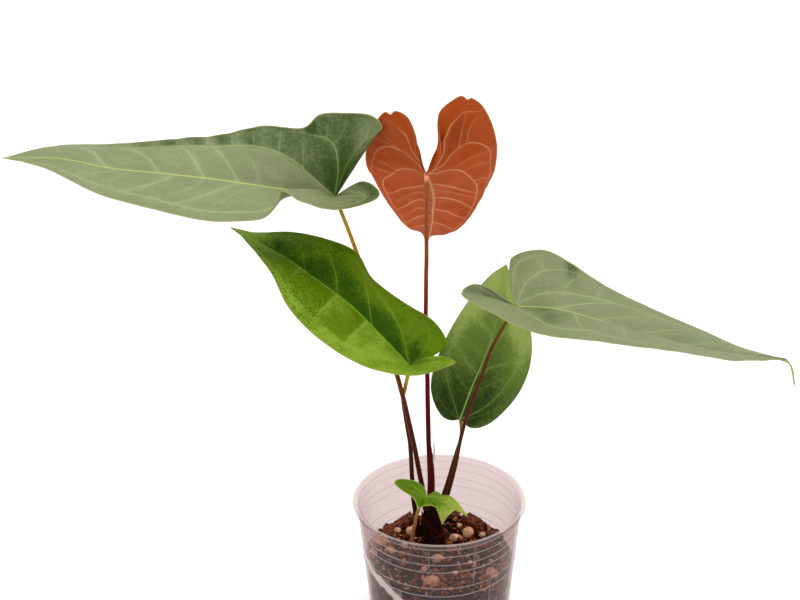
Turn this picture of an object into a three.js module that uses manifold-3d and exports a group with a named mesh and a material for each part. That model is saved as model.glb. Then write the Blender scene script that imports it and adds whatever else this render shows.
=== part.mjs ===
// Potted anthurium: a young velvet-leaved aroid growing in a frosted nursery pot.
// Millimetres, +Z up. The pot's axis is X = Y = 0 and the pot rests on Z = 0.
import * as THREE from 'three';
import { ParametricGeometry } from 'three/addons/geometries/ParametricGeometry.js';
import { mergeVertices } from 'three/addons/utils/BufferGeometryUtils.js';
import Module from 'manifold-3d';

const wasm = await Module();
wasm.setup();

// ---------------------------------------------------------------- driving dimensions

const CLEARANCE = 0.3;

const POT = {
  height: 95,
  lipRadius: 52.5,
  lipHeight: 3,
  topRadius: 50,
  baseRadius: 42,
  wall: 1.2,
  floor: 1.6,
  ringHeights: [56, 62, 74, 79.5, 85.5],
  ringProud: 0.45,
  ringWidth: 1.2,
  drainHoles: { count: 8, radius: 1.9, circle: 30 },
};

const MIX = {
  height: 55,
  lumpHeight: 1.6,
  crownRise: 3,
  gap: { azimuth: -2.3, halfAngle: 0.5, low: 14, high: 50, depth: 5 },
};

const CROWN = { x: -4, y: 2, bottom: 50, top: 87, baseRadius: 7, topRadius: 5.6 };

const BLADE = { thickness: 1, slices: 14, stacks: 25 };

// Each leaf is given by its midrib, from the petiole to the tip, and by its two margins, from the
// tip round the basal lobe and back to the petiole. Left and right are as seen on the upper face
// with the tip ahead. The first `fan` points of a margin face the midrib. The later ones face the
// petiole's end, as the veins of the lobe do. A positive camber arches each half upwards.
const LEAVES = {
  leaf_left_large: {
    color: 0x93a071,
    camber: 0.05,
    fan: { left: 7, right: 6 },
    midrib: [
      [-59, 45, 274], [-91, 37, 282], [-122, 30, 290], [-152, 25, 296],
      [-183, 22, 301], [-212, 20, 308], [-243, 20, 309],
    ],
    left: [
      [-217, 9, 306], [-190, -1, 295], [-161, -7, 288], [-128, -8, 280], [-101, -4, 278], [-91, 2, 282],
      [-87, 12, 289], [-77, 10, 284], [-59, 6, 280], [-40, 6, 283], [-32, 12, 289], [-45, 28, 289],
    ],
    right: [
      [-217, 34, 311], [-189, 47, 308], [-159, 57, 307], [-130, 63, 307], [-102, 65, 311], [-79, 62, 312],
      [-69, 66, 317], [-51, 68, 318], [-34, 66, 316], [-31, 58, 310], [-44, 52, 300],
    ],
  },
  leaf_red_new: {
    color: 0xa8451a,
    camber: 0.04,
    fan: { left: 6, right: 6 },
    midrib: [
      [-6, 25, 294], [-3, 39, 283], [-1, 53, 270], [-1, 68, 257],
      [-1, 82, 245], [-2, 96, 232], [-5, 108, 216],
    ],
    left: [
      [-12, 105, 229], [-22, 96, 241], [-31, 84, 258], [-38, 70, 276], [-41, 57, 294],
      [-39, 42, 312], [-32, 22, 332], [-19, 14, 334], [-14, 19, 321], [-13, 23, 305],
    ],
    right: [
      [5, 105, 226], [16, 97, 233], [23, 87, 247], [31, 73, 267], [36, 57, 290],
      [34, 41, 311], [25, 22, 334], [9, 14, 340], [1, 19, 326], [3, 23, 308],
    ],
  },
  leaf_centre_left: {
    color: 0x5d7a14,
    camber: 0.06,
    fan: { left: 6, right: 6 },
    midrib: [
      [-17, -6, 188], [-34, -1, 206], [-51, 6, 222], [-70, 15, 234],
      [-89, 26, 244], [-106, 37, 250], [-122, 48, 255],
    ],
    left: [
      [-108, 24, 252], [-95, 3, 243], [-84, -14, 229], [-68, -25, 216], [-49, -33, 205],
      [-30, -38, 200], [-13, -40, 199], [8, -34, 203], [1, -24, 203], [-8, -14, 194],
    ],
    right: [
      [-107, 48, 251], [-87, 44, 253], [-67, 38, 251], [-48, 31, 245], [-38, 26, 230],
      [-20, 20, 217], [-3, 15, 207], [5, 10, 195], [-1, 5, 191], [-11, -2, 190],
    ],
  },
  leaf_right_large: {
    color: 0x8a956b,
    camber: 0.05,
    fan: { left: 7, right: 7 },
    midrib: [
      [43, -16, 229], [65, -28, 232], [89, -39, 229], [115, -49, 224],
      [141, -57, 220], [163, -64, 220], [180, -70, 219], [185, -75, 207],
    ],
    left: [
      [185, -71, 213], [177, -62, 218], [160, -50, 219], [138, -36, 224], [114, -22, 231], [94, -8, 237],
      [75, 6, 246], [60, 16, 250], [43, 18, 245], [42, 8, 237], [42, -5, 231],
    ],
    right: [
      [181, -73, 216], [168, -78, 224], [145, -84, 228], [118, -87, 234], [90, -85, 238], [65, -79, 239],
      [43, -69, 239], [24, -56, 245], [11, -42, 248], [17, -34, 251], [28, -28, 245],
    ],
  },
  leaf_upright_small: {
    color: 0x5f7532,
    camber: 0.05,
    fan: { left: 5, right: 5 },
    midrib: [[13, 8, 145], [20, 12, 164], [26, 16, 177], [32, 20, 192], [37, 25, 210], [41, 32, 235]],
    left: [
      [31, 31, 228], [20, 29, 215], [10, 26, 200], [2, 23, 184],
      [-4, 20, 166], [-3, 17, 154], [2, 13, 145], [8, 10, 143],
    ],
    right: [
      [46, 29, 223], [52, 26, 208], [56, 22, 191], [55, 18, 174],
      [48, 14, 158], [37, 11, 145], [27, 9, 139], [19, 8, 139],
    ],
  },
  leaf_basal_new: {
    color: 0x8aa62a,
    camber: 0.03,
    fan: { left: 2, right: 2 },
    midrib: [[-9, -17, 106], [-3, -25, 105], [1, -28, 94]],
    left: [
      [5, -26, 97], [9, -23, 101], [12, -22, 99], [16, -19, 94], [11, -14, 100],
      [6, -11, 103], [2, -10, 103], [-2, -9, 105], [-6, -12, 105],
    ],
    right: [
      [-2, -27, 101], [-4, -26, 105], [-9, -26, 106], [-13, -26, 104], [-16, -24, 110], [-23, -21, 114],
      [-27, -15, 115], [-24, -9, 114], [-15, -8, 112], [-10, -9, 109], [-8, -13, 107],
    ],
  },
};

// Each petiole runs from its foot on the crown up to the underside of its leaf.
const PETIOLES = {
  petiole_left_large: {
    color: 0x5a2a12,
    radius: 1.5,
    route: [
      [-8, -1.5, 90], [-11, -2, 108], [-15.5, -4, 137], [-20, -5, 162], [-22, -3.5, 170],
      [-24.5, 1, 179], [-34, 21, 203], [-47, 40, 240], [-56, 45, 265], [-58.6, 45, 271.4],
    ],
  },
  petiole_red_new: {
    color: 0x5e100c,
    radius: 1.6,
    route: [
      [-3.5, 4, 90], [-4, 4.5, 96], [-5, 7, 130], [-6, 14, 171], [-7, 20, 188],
      [-7, 23, 203], [-6, 25, 256], [-6, 24, 288], [-6, 23.6, 291.5],
    ],
  },
  petiole_centre_left: {
    color: 0x6e4416,
    radius: 1.5,
    route: [
      [-13, 2.4, 67], [-14.5, 2.6, 82], [-16, 4, 98], [-17, 5, 125], [-18.5, 5, 139],
      [-21, 4, 160], [-20, 1.5, 169], [-18, -4.5, 182], [-17.4, -5.8, 185.4],
    ],
  },
  petiole_right_large: {
    color: 0x59380e,
    radius: 1.5,
    route: [
      [1, -1.5, 89], [5, -3, 99], [9.5, -5, 120], [12.3, -8, 139], [17, -11, 161],
      [24, -13, 184], [30, -15, 204], [37, -16, 219], [41.5, -16, 226.4],
    ],
  },
  petiole_upright_small: {
    color: 0x7a4a18,
    radius: 1.3,
    route: [[1.8, 5.2, 89], [6, 6.2, 104], [11, 7, 123], [13.3, 8, 131], [13.8, 9, 138], [13.4, 9.4, 142]],
  },
  petiole_basal_new: {
    color: 0xa5805c,
    radius: 1.4,
    route: [[-17.4, -14, 58.6], [-17, -14, 75], [-15.3, -16, 86], [-14, -17.5, 94], [-11, -16, 102.6]],
  },
};

// Torn sheaths that once wrapped a new leaf. Each is an arc of wall about the petiole beside it.
const SHEATHS = {
  sheath_dark_red: {
    color: 0x510a08,
    thickness: 0.7,
    foot: [-3.4, 4.3, 90],
    tip: [-4.8, 6.8, 128],
    radius: 2.8,
    facing: -1.1,
    spread: 1.7,
  },
  sheath_papery: {
    color: 0xcbb9ae,
    thickness: 0.5,
    foot: [-3.8, 5.4, 108],
    tip: [-4.6, 7, 130],
    radius: 4,
    facing: -0.3,
    spread: 0.5,
  },
};

// Loose pieces on top of the mix: [x, y] of the middle, height of the middle, half sizes, turn.
const STONES = {
  pumice_large_left: { at: [-37.5, 8.5], z: 57.5, half: [5.8, 5.4, 5.4], turn: 0.3, color: 0xcea588 },
  pumice_front_left: { at: [-31, -2], z: 55.5, half: [5, 4, 4], turn: 0.9, color: 0xc08f6f },
  pumice_mid_left: { at: [-17, 22], z: 56, half: [4, 3.2, 3], turn: 2.1, color: 0xc9a184 },
  pumice_back_right: { at: [19, 19], z: 56.5, half: [4.2, 3.5, 3.4], turn: 1.4, color: 0xd3ad8c },
  pumice_right: { at: [10, 14], z: 56, half: [3.4, 2.8, 2.6], turn: 0.2, color: 0xb98662 },
  pumice_front: { at: [-6, -31], z: 55, half: [5.4, 4.6, 4.2], turn: 0.6, color: 0xc4946f },
  pumice_front_right: { at: [31, -24], z: 56, half: [4, 3.4, 3.2], turn: 2.6, color: 0xb98a68 },
};

const BARK = {
  bark_back_left: { at: [-23, 30], z: 58, half: [9, 3, 1.8], turn: 0.5, tilt: 0.3, color: 0x6b2f12 },
  bark_left_back: { at: [-33, 20], z: 57.5, half: [6, 3.2, 1.9], turn: 1.2, tilt: 0.25, color: 0x5d2a10 },
  bark_back: { at: [8, 38], z: 58, half: [6.5, 3.6, 2], turn: 0.2, tilt: -0.3, color: 0x4e1e0c },
  bark_back_right: { at: [23, 29], z: 58, half: [7, 4, 2.2], turn: 2.5, tilt: 0.3, color: 0x64290f },
  bark_right: { at: [35, 14], z: 57.5, half: [5.6, 4, 2.4], turn: 1.9, tilt: -0.3, color: 0x5a2410 },
  bark_right_front: { at: [27, 2], z: 57, half: [8, 3, 1.8], turn: 0.5, tilt: 0.15, color: 0x6e3213 },
};

// ---------------------------------------------------------------- shared shape helpers

const vector = ([x, y, z]) => new THREE.Vector3(x, y, z);
const smoothCurve = (points) => new THREE.CatmullRomCurve3(points, false, 'catmullrom', 0.5);

function weld(geometry) {
  const bare = geometry.clone();
  bare.deleteAttribute('normal');
  bare.deleteAttribute('uv');
  const merged = mergeVertices(bare, 1e-3);
  const index = merged.index.array;
  const kept = [];
  for (let i = 0; i < index.length; i += 3) {
    const [a, b, c] = [index[i], index[i + 1], index[i + 2]];
    if (a !== b && b !== c && c !== a) kept.push(a, b, c);
  }
  merged.setIndex(kept);
  return merged;
}

// Gives an open, welded surface a thickness, half to each side, and closes it round its edge.
function thicken(surface, thickness) {
  surface.computeVertexNormals();
  const { position, normal } = surface.attributes;
  const count = position.count;
  const points = [];
  for (const side of [0.5, -0.5]) {
    for (let i = 0; i < count; i += 1) {
      const point = new THREE.Vector3().fromBufferAttribute(position, i);
      const away = new THREE.Vector3().fromBufferAttribute(normal, i);
      points.push(...point.addScaledVector(away, side * thickness).toArray());
    }
  }
  const front = Array.from(surface.index.array);
  const faces = [...front];
  const edges = new Map();
  for (let i = 0; i < front.length; i += 3) {
    const corner = front.slice(i, i + 3);
    faces.push(corner[2] + count, corner[1] + count, corner[0] + count);
    for (let k = 0; k < 3; k += 1) {
      const [from, to] = [corner[k], corner[(k + 1) % 3]];
      if (!edges.delete(`${to}-${from}`)) edges.set(`${from}-${to}`, [from, to]);
    }
  }
  for (const [from, to] of edges.values()) {
    faces.push(from + count, to, from, from + count, to + count, to);
  }
  const solid = new THREE.BufferGeometry();
  solid.setAttribute('position', new THREE.Float32BufferAttribute(points, 3));
  solid.setIndex(faces);
  return solid;
}

function toManifold(geometry) {
  const welded = weld(geometry);
  return new wasm.Manifold(new wasm.Mesh({
    numProp: 3,
    vertProperties: new Float32Array(welded.attributes.position.array),
    triVerts: new Uint32Array(welded.index.array),
  }));
}

function fromManifold(manifold) {
  const { vertProperties, triVerts } = manifold.getMesh();
  const geometry = new THREE.BufferGeometry();
  geometry.setAttribute('position', new THREE.BufferAttribute(new Float32Array(vertProperties), 3));
  geometry.setIndex(new THREE.BufferAttribute(new Uint32Array(triVerts), 1));
  return geometry;
}

function subtract(geometry, tools) {
  let body = toManifold(geometry);
  for (const tool of tools) body = body.subtract(toManifold(tool));
  return fromManifold(body);
}

// A lathe turns about +Y, so its profile is stood up on +Z. A profile is [radius, height] pairs.
function lathe(profile, segments) {
  const points = profile.map(([radius, height]) => new THREE.Vector2(radius, height));
  return new THREE.LatheGeometry(points, segments).rotateX(Math.PI / 2);
}

// ---------------------------------------------------------------- pot

const wallRadius = (z) => THREE.MathUtils.mapLinear(z, 0, POT.height, POT.baseRadius, POT.topRadius);

function potSolid() {
  const { height, lipRadius, lipHeight, wall, floor, ringHeights, ringProud, ringWidth } = POT;
  const profile = [[0, 0], [POT.baseRadius - 1, 0], [wallRadius(1), 1]];
  for (const z of ringHeights) {
    profile.push([wallRadius(z - ringWidth / 2), z - ringWidth / 2]);
    profile.push([wallRadius(z) + ringProud, z]);
    profile.push([wallRadius(z + ringWidth / 2), z + ringWidth / 2]);
  }
  const underLip = height - lipHeight;
  profile.push([wallRadius(underLip - 0.6), underLip - 0.6]);
  profile.push([lipRadius - 0.4, underLip]);
  profile.push([lipRadius, underLip + 0.6]);
  profile.push([lipRadius, height - 0.5]);
  profile.push([lipRadius - 0.5, height]);
  profile.push([wallRadius(height) - wall + 0.4, height]);
  profile.push([wallRadius(height) - wall, height - 0.5]);
  profile.push([wallRadius(floor) - wall, floor]);
  profile.push([0, floor]);

  const { count, radius, circle } = POT.drainHoles;
  const holes = [];
  for (let i = 0; i < count; i += 1) {
    const angle = (2 * Math.PI * i) / count;
    const hole = new THREE.CylinderGeometry(radius, radius, 6, 20).rotateX(Math.PI / 2);
    holes.push(hole.translate(circle * Math.cos(angle), circle * Math.sin(angle), floor / 2));
  }
  return subtract(lathe(profile, 64), holes);
}

// ---------------------------------------------------------------- potting mix and loose pieces

// Height of the mix above its mean level: it is lumpy, and mounded round the crown.
function lumps(x, y) {
  const waves = Math.sin(0.33 * x + 0.8) * Math.cos(0.29 * y - 0.4) + 0.5 * Math.sin(0.61 * x - 0.52 * y);
  const mound = Math.exp(-((x - CROWN.x) ** 2 + (y - CROWN.y) ** 2) / 160);
  return (MIX.lumpHeight * waves) / 1.5 + MIX.crownRise * mound;
}

function mixSolid(tools) {
  const bottom = POT.floor + CLEARANCE;
  const inner = (z) => wallRadius(z) - POT.wall - CLEARANCE;
  const profile = [[0, bottom], [inner(bottom) - 0.5, bottom]];
  for (const z of [4, 10, 16, 22, 28, 34, 40, 46, 51]) profile.push([inner(z), z]);
  profile.push([inner(MIX.height) - 0.2, MIX.height]);
  for (const radius of [41, 36, 31, 26, 21, 16, 11, 6, 0]) profile.push([radius, MIX.height]);
  const geometry = weld(lathe(profile, 54));
  const { position } = geometry.attributes;
  const { azimuth, halfAngle, low, high, depth } = MIX.gap;
  for (let i = 0; i < position.count; i += 1) {
    const point = new THREE.Vector3().fromBufferAttribute(position, i);
    const radius = Math.hypot(point.x, point.y);
    if (point.z > MIX.height - 0.01) {
      position.setZ(i, point.z + lumps(point.x, point.y) * (radius > 44 ? 0.4 : 1));
    } else if (point.z > low && point.z < high) {
      const offset = Math.abs(Math.atan2(point.y, point.x) - azimuth) / halfAngle;
      if (offset < 1) {
        const scale = (radius - depth * Math.cos((offset * Math.PI) / 2)) / radius;
        position.setXY(i, point.x * scale, point.y * scale);
      }
    }
  }
  return subtract(geometry, tools);
}

function crownSolid(grow = 0) {
  const { x, y, bottom, top, baseRadius, topRadius } = CROWN;
  const profile = [
    [0, bottom - grow],
    [baseRadius - 2 + grow, bottom - grow],
    [baseRadius + grow, bottom + 6],
    [baseRadius - 0.8 + grow, bottom + 14],
    [topRadius + 0.4 + grow, top - 10],
    [topRadius + grow, top - 3],
    [topRadius - 2 + grow, top + grow],
    [0, top + 0.6 + grow],
  ];
  return lathe(profile, 28).translate(x, y, 0);
}

// A rounded lump with facets, as crushed pumice has. `grow` is added to each half size.
function stoneSolid({ at, z, half, turn }, grow = 0) {
  const geometry = weld(new THREE.IcosahedronGeometry(1, 2));
  const { position } = geometry.attributes;
  for (let i = 0; i < position.count; i += 1) {
    const point = new THREE.Vector3().fromBufferAttribute(position, i);
    const bump = 1 + 0.1 * Math.sin(5 * point.x + 7 * turn) * Math.cos(4 * point.y - 3 * point.z);
    point.multiplyScalar(bump);
    position.setXYZ(i, point.x, point.y, point.z);
  }
  geometry.scale(half[0] + grow, half[1] + grow, half[2] + grow);
  return geometry.rotateZ(turn).translate(at[0], at[1], z);
}

// A flat splinter of bark, thicker in the middle and tapered to its ends.
function barkSolid({ at, z, half, turn, tilt }, grow = 0) {
  const geometry = new THREE.BoxGeometry(2, 2, 2, 6, 2, 1);
  const { position } = geometry.attributes;
  for (let i = 0; i < position.count; i += 1) {
    const point = new THREE.Vector3().fromBufferAttribute(position, i);
    const taper = 1 - 0.45 * point.x ** 4;
    const warp = 0.15 * Math.sin(3 * point.x + 5 * turn);
    position.setXYZ(i, point.x, (point.y + warp) * taper, point.z * taper);
  }
  geometry.scale(half[0] + grow, half[1] + grow, half[2] + grow);
  return geometry.rotateY(tilt).rotateZ(turn).translate(at[0], at[1], z);
}

// ---------------------------------------------------------------- plant

function bladeSurface({ midrib, left, right, fan, camber }) {
  const ribPoints = midrib.map(vector);
  const rib = smoothCurve(ribPoints);
  const [base] = ribPoints;
  const tip = ribPoints[ribPoints.length - 1];
  const halves = { left, right };
  const sides = Object.entries(halves).map(([name, points]) => ({
    margin: smoothCurve([tip, ...points.map(vector), base]),
    fanStart: fan[name] / (points.length + 1),
    upward: name === 'left' ? 1 : -1,
  }));
  return (across, along, target) => {
    const side = sides[across < 0.5 ? 0 : 1];
    const reach = Math.abs(1 - 2 * across);
    const root = rib.getPoint(Math.max(0, 1 - along / side.fanStart));
    const edge = side.margin.getPoint(along);
    const spoke = edge.clone().sub(root);
    const ahead = side.margin.getPoint(Math.max(0, along - 0.05)).sub(root);
    const behind = side.margin.getPoint(Math.min(1, along + 0.05)).sub(root);
    const up = ahead.cross(behind).multiplyScalar(side.upward);
    if (up.lengthSq() > 0) up.normalize();
    const arch = camber * 4 * reach * (1 - reach) * spoke.length();
    target.copy(root).addScaledVector(spoke, reach).addScaledVector(up, arch);
  };
}

function bladeSolid(leaf) {
  const surface = new ParametricGeometry(bladeSurface(leaf), BLADE.slices, BLADE.stacks);
  return thicken(weld(surface), BLADE.thickness);
}

function petioleSolid({ radius, route }) {
  const section = new THREE.Shape().absarc(0, 0, radius, 0, 2 * Math.PI);
  const path = smoothCurve(route.map(vector));
  return new THREE.ExtrudeGeometry(section, {
    steps: 24,
    curveSegments: 5,
    bevelEnabled: false,
    extrudePath: path,
  });
}

// The arc narrows to a torn point at the tip.
function sheathSolid({ foot, tip, radius, facing, spread, thickness }) {
  const axis = new THREE.LineCurve3(vector(foot), vector(tip));
  const surface = new ParametricGeometry((across, along, target) => {
    const angle = facing + spread * (across - 0.5) * 2 * (1 - 0.9 * along ** 1.5);
    axis.getPoint(along, target);
    target.x += radius * Math.cos(angle);
    target.y += radius * Math.sin(angle);
  }, 10, 12);
  return thicken(weld(surface), thickness);
}

// ---------------------------------------------------------------- assembly

function addPart(group, name, geometry, color, roughness = 0.6) {
  const material = new THREE.MeshStandardMaterial({ color, roughness, metalness: 0 });
  const mesh = new THREE.Mesh(geometry, material);
  mesh.name = name;
  group.add(mesh);
}

const plant = new THREE.Group();
plant.name = 'potted_anthurium';

const growth = CLEARANCE + 0.1;
const pockets = [crownSolid(growth)];
for (const stone of Object.values(STONES)) pockets.push(stoneSolid(stone, growth));
for (const chip of Object.values(BARK)) pockets.push(barkSolid(chip, growth));

addPart(plant, 'pot', potSolid(), 0xd8cfcf, 0.45);
addPart(plant, 'potting_mix', mixSolid(pockets), 0x5a2a14, 0.95);
addPart(plant, 'crown', crownSolid(), 0x2a0c08, 0.7);
for (const [name, leaf] of Object.entries(LEAVES)) addPart(plant, name, bladeSolid(leaf), leaf.color, 0.5);
for (const [name, petiole] of Object.entries(PETIOLES)) addPart(plant, name, petioleSolid(petiole), petiole.color, 0.5);
for (const [name, sheath] of Object.entries(SHEATHS)) addPart(plant, name, sheathSolid(sheath), sheath.color, 0.7);
for (const [name, stone] of Object.entries(STONES)) addPart(plant, name, stoneSolid(stone), stone.color, 0.9);
for (const [name, chip] of Object.entries(BARK)) addPart(plant, name, barkSolid(chip), chip.color, 0.9);

export default plant;
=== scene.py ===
import math
import bmesh
import bpy
import numpy as np
from mathutils import Matrix, Vector, noise
from mathutils.kdtree import KDTree


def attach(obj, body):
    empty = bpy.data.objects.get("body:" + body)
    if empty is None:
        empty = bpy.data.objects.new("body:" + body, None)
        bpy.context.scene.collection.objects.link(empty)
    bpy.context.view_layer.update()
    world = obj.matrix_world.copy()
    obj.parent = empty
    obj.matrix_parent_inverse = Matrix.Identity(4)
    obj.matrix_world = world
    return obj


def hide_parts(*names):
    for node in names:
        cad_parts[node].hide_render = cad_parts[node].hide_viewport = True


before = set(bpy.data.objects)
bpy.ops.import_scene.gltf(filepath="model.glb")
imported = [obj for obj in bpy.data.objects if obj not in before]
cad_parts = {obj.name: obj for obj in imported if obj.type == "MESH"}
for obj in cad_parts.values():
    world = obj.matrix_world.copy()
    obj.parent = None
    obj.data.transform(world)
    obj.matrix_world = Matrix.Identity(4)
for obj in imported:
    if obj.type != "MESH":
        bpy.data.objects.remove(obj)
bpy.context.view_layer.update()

mm = 0.001


def linear(hexColour, alpha=1.0):
    # an sRGB hex value as the linear colour that nodes take
    parts = [int(hexColour[i:i + 2], 16) / 255 for i in (1, 3, 5)]
    return tuple(p / 12.92 if p <= 0.04045 else ((p + 0.055) / 1.055) ** 2.4 for p in parts) + (alpha,)


def addNode(tree, kind, inputs=None, **settings):
    # one node with its settings; an input that is a socket is linked, anything else is its value
    node = tree.nodes.new(kind)
    for name, value in settings.items():
        setattr(node, name, value)
    for key, value in (inputs or {}).items():
        socket = node.inputs[key]
        if isinstance(value, bpy.types.NodeSocket):
            tree.links.new(value, socket)
        else:
            socket.default_value = value
    return node


def startMaterial(name):
    material = bpy.data.materials.new(name)
    material.use_nodes = True
    material.node_tree.nodes.clear()
    return material, material.node_tree


def newObject(name, mesh):
    piece = bpy.data.objects.new(name, mesh)
    bpy.context.scene.collection.objects.link(piece)
    return piece


def newMesh(name, points, faces, material=None):
    mesh = bpy.data.meshes.new(name)
    mesh.from_pydata(np.asarray(points, float).tolist(), [], faces)
    mesh.shade_smooth()
    if material:
        mesh.materials.append(material)
    mesh.update()
    return mesh


def setAttribute(mesh, name, values):
    layer = mesh.attributes.new(name, "FLOAT", "POINT")
    layer.data.foreach_set("value", np.asarray(values, np.float32).ravel())


def meshPoints(mesh):
    points = np.zeros(len(mesh.vertices) * 3, np.float32)
    mesh.vertices.foreach_get("co", points)
    return points.reshape(-1, 3).astype(float)


def setPoints(mesh, points):
    mesh.vertices.foreach_set("co", np.asarray(points, np.float32).ravel())
    mesh.update()


def finishPiece(piece, slotName, *nodes):
    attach(piece, "root")
    if nodes:
        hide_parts(*nodes)
    return piece


def smoothStep(low, high, value):
    t = np.clip((value - low) / (high - low), 0, 1)
    return t * t * (3 - 2 * t)


def curveThrough(points, t):
    # a smooth curve through the points, t from 0 to 1
    points, t = np.asarray(points, float), np.asarray(t, float)
    last = len(points) - 1
    x = np.clip(t, 0, 1) * last
    i = np.minimum(x.astype(int), last - 1)
    w = (x - i)[..., None]
    padded = np.vstack([2 * points[0] - points[1], points, 2 * points[-1] - points[-2]])
    p0, p1, p2, p3 = padded[i], padded[i + 1], padded[i + 2], padded[i + 3]
    return p1 + 0.5 * w * (p2 - p0 + w * (2 * p0 - 5 * p1 + 4 * p2 - p3 + w * (3 * (p1 - p2) + p3 - p0)))


def noiseAt(points, size, seed=0, octaves=2):
    # smooth noise, about -1 to 1, with lumps about size across, for points in millimetres
    shift = Vector((seed * 7.31, seed * 3.17, seed * 1.73))
    return np.array([noise.fractal(Vector(p) / size + shift, 1.0, 2.0, octaves) for p in points])


def unit(v):
    return v / (np.linalg.norm(v, axis=-1, keepdims=True) + 1e-12)


def applyModifiers(piece):
    # the evaluated result becomes the piece's own plain mesh
    bpy.context.view_layer.update()
    evaluated = piece.evaluated_get(bpy.context.evaluated_depsgraph_get())
    mesh = bpy.data.meshes.new_from_object(evaluated)
    piece.modifiers.clear()
    piece.data = mesh
    mesh.name = piece.name
    return mesh


def addNodesModifier(piece, tree, values):
    modifier = piece.modifiers.new("nodes", "NODES")
    modifier.node_group = tree
    for item in tree.interface.items_tree:
        if item.item_type == "SOCKET" and item.in_out == "INPUT" and item.name in values:
            modifier[item.identifier] = values[item.name]
    return modifier


def startTree(name, sockets):
    # a Geometry Nodes tree with its named inputs; returns the tree, its input and its output node
    tree = bpy.data.node_groups.new(name, "GeometryNodeTree")
    tree.interface.new_socket("Geometry", in_out="INPUT", socket_type="NodeSocketGeometry")
    for socketName, kind, value in sockets:
        socket = tree.interface.new_socket(socketName, in_out="INPUT", socket_type="NodeSocket" + kind)
        if value is not None:
            socket.default_value = value
    tree.interface.new_socket("Geometry", in_out="OUTPUT", socket_type="NodeSocketGeometry")
    return tree, tree.nodes.new("NodeGroupInput"), tree.nodes.new("NodeGroupOutput")


def ico(level):
    shape = bmesh.new()
    bmesh.ops.create_icosphere(shape, subdivisions=level, radius=1)
    points = np.array([v.co for v in shape.verts])
    faces = [[v.index for v in f.verts] for f in shape.faces]
    shape.free()
    return points, faces


view = {
    "aim": (-22, 0, 227.2),  # mm
    "distance": 760,
    "lookDown": 23.9,  # degrees
    "roll": 0.9,
    "lens": 60,
}

studio = {
    "surround": 0.72,  # the white room's brightness
    "skylight": (2.0, (0.35, 0.3, 0.88), 55),  # strength, where it comes from, softness in degrees
    "overhead": (2.0, (-200, -300, 900), (0, 0, 200), 500),  # watts, place, aim and size in mm
}


def makeCamera():
    down = math.radians(view["lookDown"])
    back = Vector((0, -math.cos(down), math.sin(down)))
    data = bpy.data.cameras.new("camera")
    data.lens = view["lens"]
    data.sensor_width = 36
    camera = newObject("camera", data)
    camera.location = (Vector(view["aim"]) + back * view["distance"]) * mm
    turn = (-back).to_track_quat("-Z", "Y").to_matrix() @ Matrix.Rotation(-math.radians(view["roll"]), 3,
                                                                          "Z")
    camera.rotation_euler = turn.to_euler()
    bpy.context.scene.camera = camera


def makeStudio():
    scene = bpy.context.scene
    scene.view_settings.view_transform = "Standard"
    world = bpy.data.worlds.new("white room")
    scene.world = world
    world.use_nodes = True
    background = world.node_tree.nodes["Background"]
    background.inputs["Color"].default_value = (1, 1, 1, 1)
    background.inputs["Strength"].default_value = studio["surround"]
    strength, origin, softness = studio["skylight"]
    data = bpy.data.lights.new("skylight", "SUN")
    data.energy = strength
    data.angle = math.radians(softness)
    newObject("skylight", data).rotation_euler = (-Vector(origin)).to_track_quat("-Z", "Y").to_euler()
    power, place, aim, size = studio["overhead"]
    data = bpy.data.lights.new("overhead", "AREA")
    data.energy = power
    data.size = size * mm
    light = newObject("overhead", data)
    light.location = Vector(place) * mm
    light.rotation_euler = (Vector(aim) - Vector(place)).to_track_quat("-Z", "Y").to_euler()
    material, tree = startMaterial("matt white backdrop paper")
    paper = addNode(tree, "ShaderNodeTexNoise", {"Scale": 40, "Detail": 3})
    tone = addNode(tree, "ShaderNodeMix",
                   {0: paper.outputs["Fac"], 6: linear("#fbfbfb"), 7: linear("#ffffff")},
                   data_type="RGBA")
    shader = addNode(tree, "ShaderNodeBsdfPrincipled", {"Base Color": tone.outputs[2], "Roughness": 0.9,
                                                        "Specular IOR Level": 0.1})
    addNode(tree, "ShaderNodeOutputMaterial", {"Surface": shader.outputs[0]})
    half, step = 6.0, 12
    line = np.linspace(-half, half, step + 1)
    points = [(x, y, -0.0006) for y in line for x in line]
    faces = [(j * (step + 1) + i, j * (step + 1) + i + 1, (j + 1) * (step + 1) + i + 1,
              (j + 1) * (step + 1) + i)
             for j in range(step) for i in range(step)]
    newObject("floor", newMesh("floor", points, faces, material))


makeCamera()
makeStudio()
print("camera and studio ready")


# Each blade hangs between three guide curves in mm: its midrib, base to tip, and each margin, tip to base.
# fan: the margin point at which the blade stops following the midrib and fans round the base.
# A place on a half is (along, reach): along from the tip 0 round the lobe to the base 1, reach from rib 0
# to margin 1.
# veins: each is the places that it passes; faint: finer ones.
leafBuild = {"thickness": 0.5, "edge": 0.24, "ribSteps": 230, "fanSteps": 110, "reachSteps": 48}

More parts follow.
